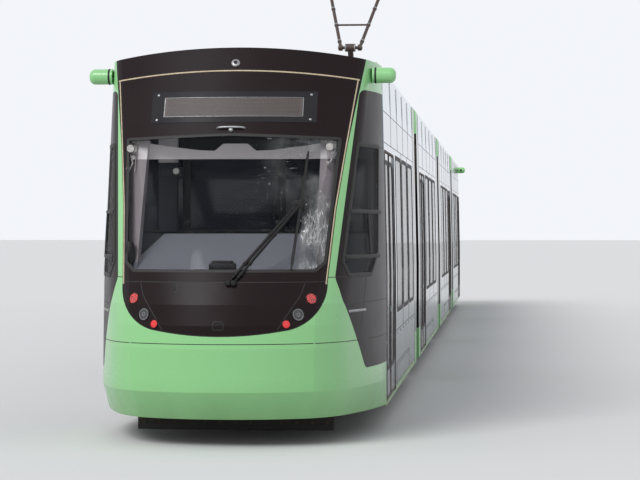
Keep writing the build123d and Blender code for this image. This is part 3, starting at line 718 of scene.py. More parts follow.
# Small fittings of the front: camera lens in the hood, grip rail under the display, lock of the
# tow hatch and the oval button beside it.
eye_z, grip_z, grip_half, stud_z, barrel_z = 3.425, 2.815, 0.125, 2.800, 1.083
button_x, button_z, button_step = -0.39, 1.375, 0.006
eye_at, eye_out = on_front(0.0, eye_z)
fittings = Piece()
collar = [(0.040, -0.002), (0.040, 0.006), (0.034, 0.012), (0.020, 0.014), (0.018, 0.010)]
fittings.turned(eye_at, eye_out, collar, 28)
grip = front_path([(-grip_half, grip_z), (grip_half, grip_z)], step=0.012)
arch = [0.024 * math.sin(math.pi * i / (len(grip) - 1)) ** 0.3 for i in range(len(grip))]
fittings.sweep([(at + out * far, out) for (at, out), far in zip(grip, arch)], bead(0.018, 0.008, 0.004))
stud = [(0.022, -0.002), (0.022, 0.010), (0.014, 0.020), (0.006, 0.021)]
fittings.turned(*on_front(0.0, stud_z), stud, 16)
fittings.hang("front_fittings", alloy)
hatch = Piece()
glass_eye = [(0.017, 0.0), (0.016, 0.005), (0.009, 0.008), (0.003, 0.009)]
hatch.turned(eye_at + eye_out * 0.008, eye_out, glass_eye, 20)
lock = [(-0.045, 1.045), (0.045, 1.045), (0.045, 1.098), (0.030, 1.115), (-0.030, 1.115), (-0.045, 1.098)]
hatch.sweep(front_path(lock + lock[:1], 1, 0.015)[:-1], bead(0.012, 0.0015), closed=True)
barrel = [(0.020, -0.006), (0.020, -0.001), (0.012, 0.0002), (0.004, -0.001)]
hatch.turned(on_front(0.0, barrel_z)[0], (0, -1, 0), barrel, 16)
button = [(0.019, -0.002), (0.019, 0.001), (0.014, 0.002), (0.004, 0.002)]
for k in range(9):
    hatch.turned(*on_front(button_x, button_z + button_step * k), button, 16)
hatch.hang("front_hatch_lock", black)

# Dark rings and lenses of the camera housings on the upper corners. The black ring round the root
# of each pod is painted shade where it meets the body; its lens looks back along the flank.
pods = Piece()
root_shade_x, eye_x, pod_y, pod_z, pod_r = 1.25, 1.345, -16.78, 3.34, 0.072
strap = [(pod_r - 0.004, -0.010), (pod_r + 0.003, -0.008), (pod_r + 0.003, 0.008), (pod_r - 0.004, 0.010)]
eye = [(0.026, -0.012), (0.026, 0.004), (0.017, 0.008), (0.004, 0.006)]
for side in (-1, 1):
    pods.turned((side * root_shade_x, pod_y, pod_z), (side, 0, 0), strap, 28, True)
    pods.turned((side * eye_x, pod_y + pod_r - 0.004, pod_z), (0, 1, 0), eye, 20)
pods.hang("camera_rings", black)

# Flush outer panes of the flank windows and door leaves. Double glazing: the outer pane is bonded
# level with the side wall, over the inner one, inside a black rubber surround.
pairs = ((1, 4), (2, 3))
half_width, lean_in, lean_z, cant_z = 1.325, 0.033, 1.45, 3.04
section_ends = {1: (-16.3, -9.38), 2: (-8.62, -0.38)}
bogie_mid = {n: sum(section_ends[n]) / 2 for n in section_ends}
door_mid = {1: -15.4, 2: -7.03}
door_w, door_low, door_top, leaf_sunk = 1.62, 0.262, 2.66, 0.008
windows = {1: (1.17, [-13.645, -12.235, -10.825]), 2: (1.26, [-5.23, -3.73, -2.23])}
window_sill, window_top, window_r = 1.06, 2.66, 0.07
leaf_pane_w, leaf_pane_low, leaf_pane_top = 0.62, 0.562, 2.56


def on_wall(side, y, z, sunk=0.0):
    # Place and direction on a flank: upright to the belt, then leaning in a little
    lean = lean_in / (cant_z - lean_z)
    x = half_width - max(0.0, z - lean_z) * lean - sunk
    return Vector((side * x, y, z)), Vector((side, 0, lean if z > lean_z else 0)).normalized()


def wall_path(side, points, sunk=0.0):
    return [on_wall(side, y, z, sunk) for y, z in points]


def rounded(y0, y1, z0, z1, r, steps=5):
    places = []
    corners = ((y1 - r, z1 - r), (y0 + r, z1 - r), (y0 + r, z0 + r), (y1 - r, z0 + r))
    for quarter, (cy, cz) in enumerate(corners):
        turns = [math.radians(90 * quarter + 90 * k / steps) for k in range(steps + 1)]
        places += [(cy + r * math.cos(a), cz + r * math.sin(a)) for a in turns]
    return places + places[:1]


outer_glass = Finish("outer_pane", "window_glass", IOR=1.5)
ripple = outer_glass.noise(1.1, 4.0)
outer_glass.set(
    Base_Color=outer_glass.mix(ripple * 0.6, (18, 19, 21), (38, 40, 43)),
    Roughness=0.02 + ripple * 0.03,
    Alpha=0.62 + outer_glass.noise(0.35, 2.0) * 0.15,
)
for n, twin in pairs:
    panes, surrounds = Piece(), Piece()
    width, middles = windows[n]
    spans = [(m - width / 2, m + width / 2, window_sill, window_top, 0.0) for m in middles]
    for m in (door_mid[n] - 0.405, door_mid[n] + 0.405):
        spans.append((m - leaf_pane_w / 2, m + leaf_pane_w / 2, leaf_pane_low, leaf_pane_top, leaf_sunk))
    for side in (-1, 1):
        for y0, y1, z0, z1, sunk in spans:
            levels = []
            for z in (z0 + 0.004, lean_z, z1 - 0.004):
                corners = [(y0 + 0.004, 0.002), (y1 - 0.004, 0.002), (y1 - 0.004, 0.008), (y0 + 0.004, 0.008)]
                levels.append(panes.ring([on_wall(side, y, z, sunk + deep)[0] for y, deep in corners]))
            panes.skin(levels)
            loop = dense(rounded(y0, y1, z0, z1, window_r), 0.4)[:-1]
            surround = band(0.022, 0.018, -0.030, 0.0015, 0.003)
            surrounds.sweep(wall_path(side, loop, sunk), surround, closed=True)
    panes.hang("outer_panes", outer_glass, (n, twin))
    surrounds.hang("window_surrounds", rubber, (n, twin))

# Door fittings. Rubber lips round each doorway and where the leaves meet, brush strip at the foot,
# and a round push button with a metal rim on each leaf beside the meeting edge.
button = Finish("door_button", "body_green", Coat_Weight=0.6, Emission_Strength=0.25)
glow = button.mix(button.noise(90.0, 2.0), (60, 150, 92), (90, 180, 118))
button.set(Base_Color=glow, Emission_Color=glow)
brown = two_tone("door_seal_rubber", "bellows_rubber", (14.0, 6.0, (1, 1, 0.3)), (44, 30, 28), (84, 62, 56),
                 0.55, 0.2)
button_off, button_z = 0.052, 1.12
for n, twin in pairs:
    lips, rims, caps = Piece(), Piece(), Piece()
    mid, y0, y1 = door_mid[n], door_mid[n] - door_w / 2, door_mid[n] + door_w / 2
    doorway = [(y0, door_low), (y0, lean_z), (y0, door_top - 0.03), (y0 + 0.03, door_top),
               (y1 - 0.03, door_top), (y1, door_top - 0.03), (y1, lean_z), (y1, door_low)]
    meeting = [(mid, door_low + 0.01), (mid, lean_z), (mid, door_top - 0.01)]
    foot_line = [(y0 + 0.02, door_low + 0.02), (y1 - 0.02, door_low + 0.02)]
    for side in (-1, 1):
        for line, sunk, width, height in (
            (doorway, 0.0, 0.022, 0.005),
            (meeting, leaf_sunk, 0.034, 0.008),
            (foot_line, leaf_sunk, 0.03, 0.006),
        ):
            lips.sweep(wall_path(side, dense(line, 0.3), sunk), bead(width, height))
        for y in (mid - button_off, mid + button_off):
            at, out = on_wall(side, y, button_z, leaf_sunk)
            rims.turned(at, out, [(0.020, 0.0), (0.028, 0.0), (0.027, 0.006), (0.021, 0.008)], 24, True)
            caps.turned(at, out, [(0.021, 0.0), (0.021, 0.004), (0.014, 0.008), (0.004, 0.009)], 20)
    lips.hang("door_lips", brown, (n, twin))
    rims.hang("door_button_rims", alloy, (n, twin))
    caps.hang("door_buttons", button, (n, twin))

# Panel joints of the flanks: the cant rail and cornice lines, the hinge line of the skirts, the
# lift-off panel over each bogie, the uprights of the roof fairing and the edges of the end panels.
cornice_z, waist_z, fairing_z = 2.74, 0.86, 3.40
skirt_panel = [(-1.42, 0.30), (-1.42, 0.50), (-1.40, 0.52), (1.40, 0.52), (1.42, 0.50), (1.42, 0.30)]
line = bead(0.007, 0.0015)
for n, twin in pairs:
    joints, locks = Piece(), []
    bogie_y = bogie_mid[n]
    width, middles = windows[n]
    first, last = {1: (-16.28, -9.9), 2: (-8.1, -0.9)}[n]
    doorway = (door_mid[n] - door_w / 2 - 0.02, door_mid[n] + door_w / 2 + 0.02)
    runs = [(first, last, cant_z), (first, last, cornice_z)]
    for z in (waist_z, skirt_z):
        runs += [(first, doorway[0], z), (doorway[1], last, z)]
    for side in (-1, 1):
        for a, b, z in runs:
            if b - a > 0.05:
                joints.sweep(wall_path(side, [(a, z), (b, z)]), line)
        joints.sweep(wall_path(side, [(bogie_y + y, z) for y, z in skirt_panel]), line)
        for k in range(1, 5):
            y = first + 0.02 + k * (last - first - 0.04) / 5
            upright = wall_path(side, [(y, cornice_z), (y, cant_z), (y, fairing_z)])
            joints.sweep(upright[:2] + [(upright[2][0], Vector((side, 0, 0.02)))], line)
        for y in {1: [last], 2: [first, last]}[n]:
            joints.sweep(wall_path(side, [(y, z) for z in (0.235, lean_z, cant_z, 3.42)]), line)
        for q in (-1, 1):
            y = middles[1] + q * (width / 2 + 0.12)
            joints.sweep(wall_path(side, [(y, z) for z in (waist_z, lean_z, cornice_z)]), line)
        locks += [on_wall(side, bogie_y - 1.3 + 2.6 * k / 8, 0.49) for k in range(9)]
        for a, b, z in runs[2:4]:
            count = max(1, round((b - a) / 0.7))
            locks += [on_wall(side, a + (k + 0.5) * (b - a) / count, 0.83) for k in range(count)]
    joints.hang("flank_joints", rubber, (n, twin))
    lock = Pattern("skirt_lock_%d" % n, head_radius=0.011, head_height=0.0025,
                   washer_radius=0.018, washer_height=0.0015)
    lock.disc(16, "washer_").disc(4, "head_", 0.001).set_on("skirt_locks", locks, alloy, (n, twin))

# Doorway treadplates: alloy sills with raised ribs, screwed to the floor edge inside the doors of
# both flanks.
low_floor, sill_in, sill_out, sill_half, rib_step = 0.35, 1.10, 1.23, 0.78, 0.03
for n, twin in pairs:
    sills, ribs = Piece(), []
    for side in (-1, 1):
        x0, x1 = sorted((side * sill_in, side * sill_out))
        sills.box((x0, door_mid[n] - sill_half, low_floor - 0.002),
                  (x1, door_mid[n] + sill_half, low_floor + 0.004), 0.0015)
        x = (x0 + x1) / 2
        ribs += [((x, door_mid[n] + rib_step * k, low_floor + 0.003), (0, 0, 1)) for k in range(-25, 26)]
    sills.hang("door_sills", alloy, (n, twin))
    rib = Pattern("sill_rib_%d" % n, length=0.11, width=0.008, height=0.003)
    rib.bar().set_on("sill_ribs", ribs, alloy, (n, twin))

# Grab poles and rails. Bright steel tubes from floor to ceiling by the doors and the seat ends, and
# two rails under the ceiling with hangers, all clamped in small round flanges.
steel_tube = two_tone("polished_steel", "wheel_steel", (12.0, 6.0), (204, 204, 202), (160, 160, 158),
                      0.18, 0.2, Metallic=1.0)
ceiling_z, high_floor, rail_x, rail_z, rail_end, rail_bend = 2.69, 0.52, 0.50, 2.28, 0.75, 0.08
pole_feet = [(0.62, low_floor), (0.62, low_floor), (0.40, high_floor), (0.40, high_floor), (0.42, low_floor)]
pole_ys = {1: (-15.95, -14.75, -13.2, -12.2, -10.55), 2: (-7.75, -6.3, -4.9, -3.9, -1.9)}
flange = [(0.017, 0.0), (0.045, 0.0), (0.045, 0.008), (0.017, 0.016)]
for n, twin in pairs:
    poles = Piece()
    a, b = section_ends[n]
    for side in (-1, 1):
        for y, (x, floor_z) in zip(pole_ys[n], pole_feet):
            poles.tube([(side * x, y, z) for z in (floor_z, 1.5, ceiling_z)], 0.017, 12)
            poles.turned((side * x, y, floor_z), (0, 0, 1), flange, 20, True)
            poles.turned((side * x, y, ceiling_z), (0, 0, -1), flange, 20, True)
        rail = []
        for end, way in ((a + rail_end, 1), (b - rail_end, -1)):
            drop = [(end, ceiling_z), (end, rail_z + rail_bend), (end + way * rail_bend, rail_z)]
            rail += drop[::way]
        poles.tube([(side * rail_x, y, z) for y, z in rail], 0.016, 12)
        straight = b - a - 2 * (rail_end + rail_bend)
        for k in range(1, 5):
            y = rail[2][0] + k * straight / 5
            poles.tube([(side * rail_x, y, rail_z), (side * rail_x, y, ceiling_z)], 0.011, 10)
    poles.hang("grab_poles", steel_tube, (n, twin))

# Seat grips: a bent handle of bright steel tube on the aisle corner of every backrest, let into
# the shell at both ends.
seat_offs = [(0.830, 1), (-0.620, 1), (-0.790, -1), (-2.170, -1)]
grip_bends = [(0.16, 0.96), (0.16, 1.01), (0.13, 1.04), (0.05, 1.04), (0.02, 1.01), (0.02, 0.90)]
for n, twin in pairs:
    grips = Piece()
    for off, face in seat_offs:
        y = bogie_mid[n] - off + face * 0.045
        base = high_floor if abs(off) < 1.31 else low_floor
        for side in (-1, 1):
            grips.tube([(side * (0.385 + x), y, base + z) for x, z in grip_bends], 0.012, 10)
    grips.hang("seat_grips", steel_tube, (n, twin))

# Ceiling lamps: two rows of long frosted plastic diffusers in shallow alloy trays, screwed under
# the ceiling panels.
frost = Finish("lamp_diffuser", "roof_grey", Emission_Strength=0.12)
milk = frost.noise(8.0, 2.0)
frost.set(
    Base_Color=frost.mix(milk, (206, 206, 202), (188, 190, 190)),
    Emission_Color=frost.mix(milk, (250, 248, 240), (236, 240, 244)),
)
lamp_x, lamp_count = 0.72, 4
for n, twin in pairs:
    trays, tubes = Piece(), Piece()
    a, b = section_ends[n]
    step = (b - a - 0.5) / lamp_count
    for x in (-lamp_x, lamp_x):
        for k in range(lamp_count):
            y = a + 0.25 + k * step
            for piece, half, short, low, high, edge in (
                (trays, 0.075, 0.05, -0.022, 0.002, 0.006), (tubes, 0.055, 0.08, -0.032, -0.018, 0.008),
            ):
                near = (x - half, y + short, ceiling_z + low)
                far = (x + half, y + step - short, ceiling_z + high)
                piece.box(near, far, edge)
    trays.hang("lamp_trays", alloy, (n, twin))
    tubes.hang("ceiling_lamps", frost, (n, twin))

# Driver's seat: two foam cushions in dark woven cloth, laid over the seat frame at each end of
# the car.
twill = Finish("seat_twill", "desk_grey", Sheen_Weight=0.3)
thread = twill.cells(420.0)
blue = twill.mix(twill.noise(14.0, 4.0), (30, 34, 42), (46, 52, 62))
twill.set(Base_Color=blue, Roughness=0.8 + thread * 0.1)
twill.bump(thread, 0.3, 0.001)


def cushion(name, low, high, number, crown=0.014):
    # A padded block: a cube cut fine, its corners rounded and its faces crowned
    pad = Piece()
    bmesh.ops.create_cube(pad.mesh, size=2)
    bmesh.ops.subdivide_edges(pad.mesh, edges=pad.mesh.edges[:], cuts=9, use_grid_fill=True)
    size = [(b - a) / 2 for a, b in zip(low, high)]
    soft = 0.6 * 0.42 * min(size) / max(size)
    for v in pad.mesh.verts:
        u = list(v.co)
        for i in range(3):
            j, k = (i + 1) % 3, (i + 2) % 3
            edge = 1 - soft * max(abs(u[j]) ** 6, abs(u[k]) ** 6)
            bulge = crown * (1 - u[j] ** 2) * (1 - u[k] ** 2)
            v.co[i] = (low[i] + high[i]) / 2 + u[i] * (size[i] * edge + bulge)
    pad.hang(name, twill, (number,))[0]


for number in (1, 4):
    cushion("driver_seat_pad", (-0.25, -17.02, 0.945), (0.25, -16.59, 1.03), number)
    cushion("driver_seat_back", (-0.24, -16.67, 1.02), (0.24, -16.575, 1.54), number)

# Things on and above the desk: a dark instrument hood at the foot of the windscreen, a kerb mirror on
# the left post, the blind's roller brackets in both top corners, and the driver's handles.
console = Piece()
mirror_x, mirror_z = -0.865, 1.70
glass_y = on_front(0.02, 1.63)[0].y
console.box((-0.125, glass_y + 0.09, 1.535), (0.11, glass_y + 0.19, 1.615), 0.016)
console.box((-0.105, glass_y + 0.12, 1.60), (0.085, glass_y + 0.20, 1.636), 0.012)
mirror_y = on_front(mirror_x, mirror_z)[0].y + 0.06
pear = [(0.012, 0.0), (0.034, 0.012), (0.046, 0.05), (0.049, 0.11), (0.045, 0.17), (0.030, 0.205),
        (0.010, 0.215)]
console.turned((mirror_x, mirror_y, mirror_z - 0.105), (0, 0, 1), pear, 20)
stem = [(mirror_x, 0), (mirror_x - 0.035, 0.05), (mirror_x - 0.055, 0.09)]
console.tube([(x, mirror_y + dy, mirror_z) for x, dy in stem], 0.010)
boot = [(0.045, 0.0), (0.045, 0.008), (0.028, 0.022), (0.014, 0.028)]
knob = [(0.014, -0.01), (0.026, 0.0), (0.028, 0.016), (0.020, 0.032), (0.006, 0.038)]
handle_y, desk_z = -17.36, 1.868
for x in (-0.42, 0.40):
    console.turned((x, handle_y, desk_z), (0, 0, 1), boot, 20)
    lever = [(0, 0.002), (-0.01, 0.062), (-0.03, 0.092)]
    console.tube([(x, handle_y + dy, desk_z + dz) for dy, dz in lever], 0.012, 10)
    console.turned((x, handle_y - 0.03, desk_z + 0.087), (0, -0.3, 1), knob, 16)
console.hang("desk_fittings", black)
zinc = two_tone("zinc_plate", "wheel_steel", (40.0, 5.0), (216, 212, 208), (112, 108, 106), 0.35, 0.2,
                Metallic=0.25)
brackets = Piece()
for side, x, z0, z2 in ((-1, -0.925, 2.74, 2.43), (1, 0.885, 2.71, 2.48)):
    z1 = (z0 + z2) / 2
    y0, y1, y2 = [on_front(x, z)[0].y + 0.055 for z in (z0, z1, z2)]
    brackets.box((x - 0.048, y0, z0 - 0.075), (x + 0.048, y0 + 0.010, z0), 0.003)
    for dx, y, z, profile, sides in (
        (-0.005, y1 - 0.055, z1 + 0.055, [(0.033, 0.0), (0.036, 0.010), (0.030, 0.034), (0.012, 0.04)], 20),
        (0.012, y1 - 0.020, z1 - 0.025, [(0.021, 0.0), (0.021, 0.020), (0.010, 0.026)], 16),
        (-0.022, y2 - 0.025, z2 + 0.025, [(0.016, 0.0), (0.018, 0.016), (0.008, 0.020)], 14),
    ):
        brackets.turned((x + dx, y, z), (0, 1, 0), profile, sides)
    rod = [(0, y0 + 0.005, z0 - 0.05), (0.024, (y0 + y1) / 2, (z0 + z1) / 2), (-0.018, y1, z1),
           (0.014, (y1 + y2) / 2, (z1 + z2) / 2), (-0.020, y2, z2)]
    brackets.tube([(x + dx, y, z) for dx, y, z in rod], 0.009)
    outer = x - side * 0.034
    fin = [(outer, y0, z0 - 0.01), (outer, y2, z2), (outer, y2 + 0.022, z2), (outer, y0 + 0.022, z0 - 0.01)]
    brackets.plate(fin, (0.004, 0, 0))
brackets.hang("blind_brackets", zinc)

# Cab partition. Tinted panes and a door in a dark frame stand on the bulkhead behind the driver,
# with a padded post at the left and the document lamp on it.
smoked = Finish("partition_glass", "window_glass", IOR=1.5)
cast = smoked.noise(1.5, 4.0, (2.5, 1, 0.2))
smoked.set(
    Base_Color=smoked.mix(cast, (14, 18, 28), (36, 42, 56)),
    Roughness=0.08 + cast * 0.1,
    Alpha=0.86 + cast * 0.08,
)
wall_y, sill_z, rail_z, header_z = -16.345, 1.868, 2.60, 2.98
wall_half, pane_end, mullions = 1.2, 1.17, (-0.59, 0.33)
pane_edges = [-pane_end] + [x + side * 0.03 for x in mullions for side in (-1, 1)] + [pane_end]
partition = Piece()
for x0, x1 in zip(pane_edges[::2], pane_edges[1::2]):
    partition.box((x0, wall_y + 0.006, sill_z + 0.03), (x1, wall_y + 0.014, rail_z), 0.002)
partition.hang("partition_panes", smoked)
bars = Piece()
for x in mullions:
    bars.box((x - 0.035, wall_y - 0.008, sill_z), (x + 0.035, wall_y + 0.03, header_z), 0.006)
for x in (0.01 - wall_half, wall_half - 0.01):
    bars.box((x - 0.03, wall_y - 0.004, sill_z), (x + 0.03, wall_y + 0.026, header_z), 0.006)
sill_top = (wall_half, wall_y + 0.026, sill_z + 0.035)
bars.box((-wall_half, wall_y - 0.004, sill_z - 0.004), sill_top, 0.006)
bars.box((-wall_half, wall_y, rail_z - 0.02), (wall_half, wall_y + 0.022, header_z), 0.006)
pull = [(0.01, 2.02), (0.045, 2.02), (0.05, 2.08), (0.045, 2.14), (0.01, 2.14)]
bars.tube([(0.25, wall_y - far, z) for far, z in pull], 0.009)
bars.hang("partition_frame", black)
post = Piece()
post_y, arm_x, arm_y, arm_z = -16.44, -0.695, -16.56, 2.455
post.box((-0.85, post_y, sill_z + 0.004), (-0.66, post_y + 0.09, 2.90), 0.03)
post.box((arm_x - 0.095, arm_y, arm_z - 0.045), (arm_x + 0.095, post_y + 0.01, arm_z + 0.045), 0.02)
post.hang("cab_post", trim)
shade = Piece()
dome = [(0.028, -0.01), (0.030, 0.002), (0.024, 0.012), (0.010, 0.016)]
shade.turned((arm_x + 0.04, arm_y - 0.005, arm_z + 0.005), (0, -1, 0), dome, 20)
shade.hang("document_lamp", frost)

# Nose floor: a black sheet-metal pan that closes the front of the cab from below, following the
# apron inside.
pan_z, pan_back = 0.338, -17.46
edge = [(k * 0.05, on_front(k * 0.05, pan_z)[0].y + 0.064) for k in range(-20, 21)]
edge = [(x, y, pan_z) for x, y in edge if y < -17.5]
pan = Piece()
pan.plate([(edge[0][0], pan_back, pan_z)] + edge + [(edge[-1][0], pan_back, pan_z)], (0, 0, 0.006))
pan.hang("nose_pan", frames, slot="underframe")

# Wiper dressing: ribbed sleeves on both rods, the spindle caps at their feet, the clamp at the elbow
# and the rubber blade with its carrier.
wiper_foot, wiper_elbow = (0.120, 1.447), (0.660, 2.116)
blade_low, blade_high = (0.603, 1.560), (0.698, 2.600)
wiper_off, rod_gap, ahead = 0.026, 0.046, Vector((0, -1, 0))
dressing = Piece()


def off_glass(place, far):
    x, z = place
    return Vector((x, on_front(x, z)[0].y - far, z))


for shift in (0.0, rod_gap):
    a = off_glass(wiper_foot, wiper_off) - Vector((shift, 0, 0))
    b = off_glass(wiper_elbow, wiper_off) - Vector((shift * 0.6, 0, -0.020))
    rods = [a.lerp(b, 0.06 + 0.90 * k / 20) for k in range(21)]
    for at in rods:
        at.y = min(at.y, on_front(at.x, at.z)[0].y - 0.016)
    dressing.tube(rods, 0.0135, 10)
    sleeve = [(0.012, -0.014), (0.0185, -0.012), (0.0185, 0.012), (0.012, 0.014)]
    for k in (1, 4, 12, 19):
        dressing.turned(rods[k], rods[k + 1] - rods[k - 1], sleeve, 14, True)
    spindle = [(0.027, 0.0), (0.027, 0.020), (0.020, 0.030), (0.006, 0.032)]
    dressing.turned(a + Vector((0, 0.012, 0)), ahead, spindle, 20)
elbow = off_glass(wiper_elbow, wiper_off)
clamp = [(0.036, 0.0), (0.036, 0.024), (0.026, 0.034), (0.008, 0.036)]
dressing.turned(elbow + Vector((0, 0.004, 0)), ahead, clamp, 20)
dressing.box(elbow + Vector((-0.060, -0.020, -0.012)), elbow + Vector((0.026, 0.010, 0.048)), 0.006)
blade = [off_glass(Vector(blade_low).lerp(Vector(blade_high), k / 30), 0.0) for k in range(31)]
path = [(at, ahead) for at in blade]
dressing.sweep(path, [(-0.005, 0.001), (0.005, 0.001), (0.007, 0.020), (-0.007, 0.020)])
dressing.sweep(path[1:-1], [(-0.011, 0.017), (0.011, 0.017), (0.012, 0.030), (0.005, 0.038),
                            (-0.005, 0.038), (-0.012, 0.030)])
dressing.hang("wiper_dressing", black)

# Gear housings on the roof. Each has a lid with a turned-down lip held by clamps, louvres along its
# sides, lifting eyes at the corners and, on the long ones, two fans under wire guards.
housings = {
    1: [(-14.24, 2.30, 1.70, 0.33, 2), (-11.34, 1.70, 1.50, 0.26, 0)],
    2: [(-6.90, 1.90, 1.70, 0.30, 2), (-4.65, 1.30, 1.40, 0.23, 0)],
}
sheet_metal = two_tone("housing_sheet", "roof_grey", (2.2, 7.0), (176, 178, 176), (118, 114, 106),
                       0.42, 0.3, 0.8, Metallic=0.6)
lid_r, lip_drop, louvre_step, louvre_pitch, clamp_pitch = 0.06, 0.022, 0.024, 0.30, 0.45
lid_margin, eye_inset = 0.25, 0.12
eye = [(-0.035, 0), (-0.035, 0.022), (-0.018, 0.042), (0.018, 0.042), (0.035, 0.022), (0.035, 0)]
up = Vector((0, 0, 1))


def lid_edge(y, ly, lx, z):
    # Places round the lid with the direction away from its middle part
    path = []
    for py, px in rounded(y - ly / 2, y + ly / 2, -lx / 2, lx / 2, lid_r)[:-1]:
        flat_x = max(lid_r - lx / 2, min(lx / 2 - lid_r, px))
        flat_y = max(y - ly / 2 + lid_r, min(y + ly / 2 - lid_r, py))
        path.append((Vector((px, py, z)), Vector((px - flat_x, py - flat_y, 0)).normalized()))
    return path


def fan(at, lids, guards, fans):
    # A collar on the lid, a guard of four hoops on four wires, and a hub with seven blades
    lids.turned(at, up, [(0.34, -0.01), (0.40, -0.01), (0.395, 0.030), (0.345, 0.034)], 40, True)
    for r in (0.09, 0.17, 0.25, 0.33):
        guards.turned(at, up, hoop(r - 0.004, r + 0.004, 0.028, 0.036), 36, True)
    for c, s in circle(8)[:4]:
        wire = Vector((c, s, 0)) * 0.35
        guards.tube([at + wire * k + up * 0.026 for k in (-1, 0, 1)], 0.005)
    fans.turned(at, up, hoop(0.02, 0.33, 0.0, 0.004), 36)
    fans.turned(at, up, [(0.075, 0.003), (0.07, 0.018), (0.03, 0.022)], 20)
    blade = [(0.07, -0.02, 0.016), (0.31, -0.055, 0.018), (0.31, 0.055, 0.006), (0.07, 0.02, 0.008)]
    for c, s in circle(7):
        fans.plate([at + Vector((c * r - s * w, s * r + c * w, z)) for r, w, z in blade], (0, 0, 0.002))


for n, twin in pairs:
    lids, guards, fans = Piece(), Piece(), Piece()
    slats, clamps = [], []
    for y, ly, lx, h, fan_count in housings[n]:
        top_z = cant_z + h
        lip = band(0.024, 0.018, -0.004, 0.010, 0.014)
        lids.sweep(lid_edge(y, ly, lx, top_z - lip_drop), lip, closed=True)
        columns, rows = int((ly - 2 * lid_margin) / louvre_pitch), int((h - 0.11) / louvre_step)
        clamp_count = round(ly / clamp_pitch)
        for side in (-1, 1):
            out, x = (side, 0, 0), side * lx / 2
            for k in range(columns):
                slat_y = y + (k - (columns - 1) / 2) * louvre_pitch
                slats += [((x, slat_y, cant_z + 0.035 + louvre_step * j), out) for j in range(rows)]
            for k in range(clamp_count):
                clamp_y = y + (ly - 2 * lid_margin) * (k / (clamp_count - 1) - 0.5)
                clamps.append(((x + side * 0.012, clamp_y, top_z - lip_drop), out))
            for q in (-1, 1):
                a = Vector((side * (lx / 2 - eye_inset), y + q * (ly / 2 - eye_inset), top_z - 0.004))
                lids.tube([a + Vector((dx, 0, dz)) for dx, dz in eye], 0.007)
        for k in range(fan_count):
            fan(Vector((0, y + (k - 0.5) * ly * 0.46, top_z)), lids, guards, fans)
    lids.hang("housing_lids", sheet_metal, (n, twin))
    guards.hang("fan_guards", black, (n, twin))
    fans.hang("roof_fans", alloy, (n, twin))
    louvre = Pattern("louvre_%d" % n, length=0.24, width=0.011, height=0.007)
    louvre.bar().set_on("housing_louvres", slats, sheet_metal, (n, twin))
    clamp = Pattern("lid_clamp_%d" % n, length=0.05, width=0.032, height=0.012,
                    bolt_radius=0.008, bolt_height=0.018)
    clamp.bar().disc(6, "bolt_").set_on("lid_clamps", clamps, alloy, (n, twin))

# Roof deck. Non-slip tread strips, cable ducts with cross straps beside the housings, and the rain
# gutter beads along the inside of both fairings.


def middles_of(a, b, step):
    # The middles of even parts of a run, each about a step long
    count = round((b - a) / step)
    return [a + (k + 0.5) * (b - a) / count for k in range(count)]


free_deck = {1: [(-13.0, -12.28), (-10.40, -9.50)],
             2: [(-8.45, -7.95), (-5.85, -5.40), (-3.88, -3.10), (-0.80, -0.50)]}
duct_x, duct_half, duct_h = 1.04, 0.07, 0.055
lines = ((0.93, 0.022, 0.020, 10), (1.215, 0.010, 0.012, 8))
for n, twin in pairs:
    ducts, straps = Piece(), []
    a, b = section_ends[n][0] + 0.08, section_ends[n][1] - 0.08
    for side in (-1, 1):
        x = side * duct_x
        ducts.box((x - duct_half, a, cant_z - 0.002), (x + duct_half, b, cant_z + duct_h), 0.008)
        for x, z, r, sides in lines:
            ducts.rod((side * x, a, cant_z + z), (side * x, b, cant_z + z), r, sides)
        straps += [((side * 1.0, y, cant_z + 0.050), up) for y in middles_of(a, b, 0.6)]
    treads = [((0, y, cant_z), up) for low, high in free_deck[n] for y in middles_of(low, high, 0.05)]
    ducts.hang("roof_ducts", sheet_metal, (n, twin))
    tread = Pattern("roof_tread_%d" % n, length=1.10, width=0.022, height=0.008)
    tread.bar().set_on("roof_treads", treads, black, (n, twin))
    strap = Pattern("duct_strap_%d" % n, length=0.26, width=0.03, height=0.012)
    strap.bar().set_on("duct_straps", straps, alloy, (n, twin))

# Collector. Brown glazed insulators under the base frame, coil springs, pin caps on the hinges, a
# cable along the lower arm, and worn carbon on both strips of the head.
glaze = two_tone("insulator_glaze", "bogie_black", (20.0, 5.0), (92, 40, 24), (64, 30, 22), 0.25, 0.3,
                 Coat_Weight=0.8, Coat_Roughness=0.05)
posts = [(x, y) for x in (-0.48, 0.48) for y in (-2.9, -1.0)]
foot_at, knee_at, head_at = Vector((0, -1.30, 3.48)), Vector((0, -2.65, 4.77)), Vector((0, -1.25, 5.90))
foot_cap_x, spring_x, rod_rise, knee_hub_x, knee_nut_x = 0.222, 0.30, 0.068, 0.073, 0.180
fork_low_x, fork_high_x = 0.150, 0.450
shed = Pattern("insulator_shed", wide_radius=0.095, wide_height=0.010, thin_radius=0.075, thin_height=0.026)
sheds = [((x, y, cant_z + 0.035 + 0.05 * k), up) for x, y in posts for k in range(5)]
shed.disc(28, "wide_").disc(28, "thin_").set_on("insulator_sheds", sheds, glaze, (2,))

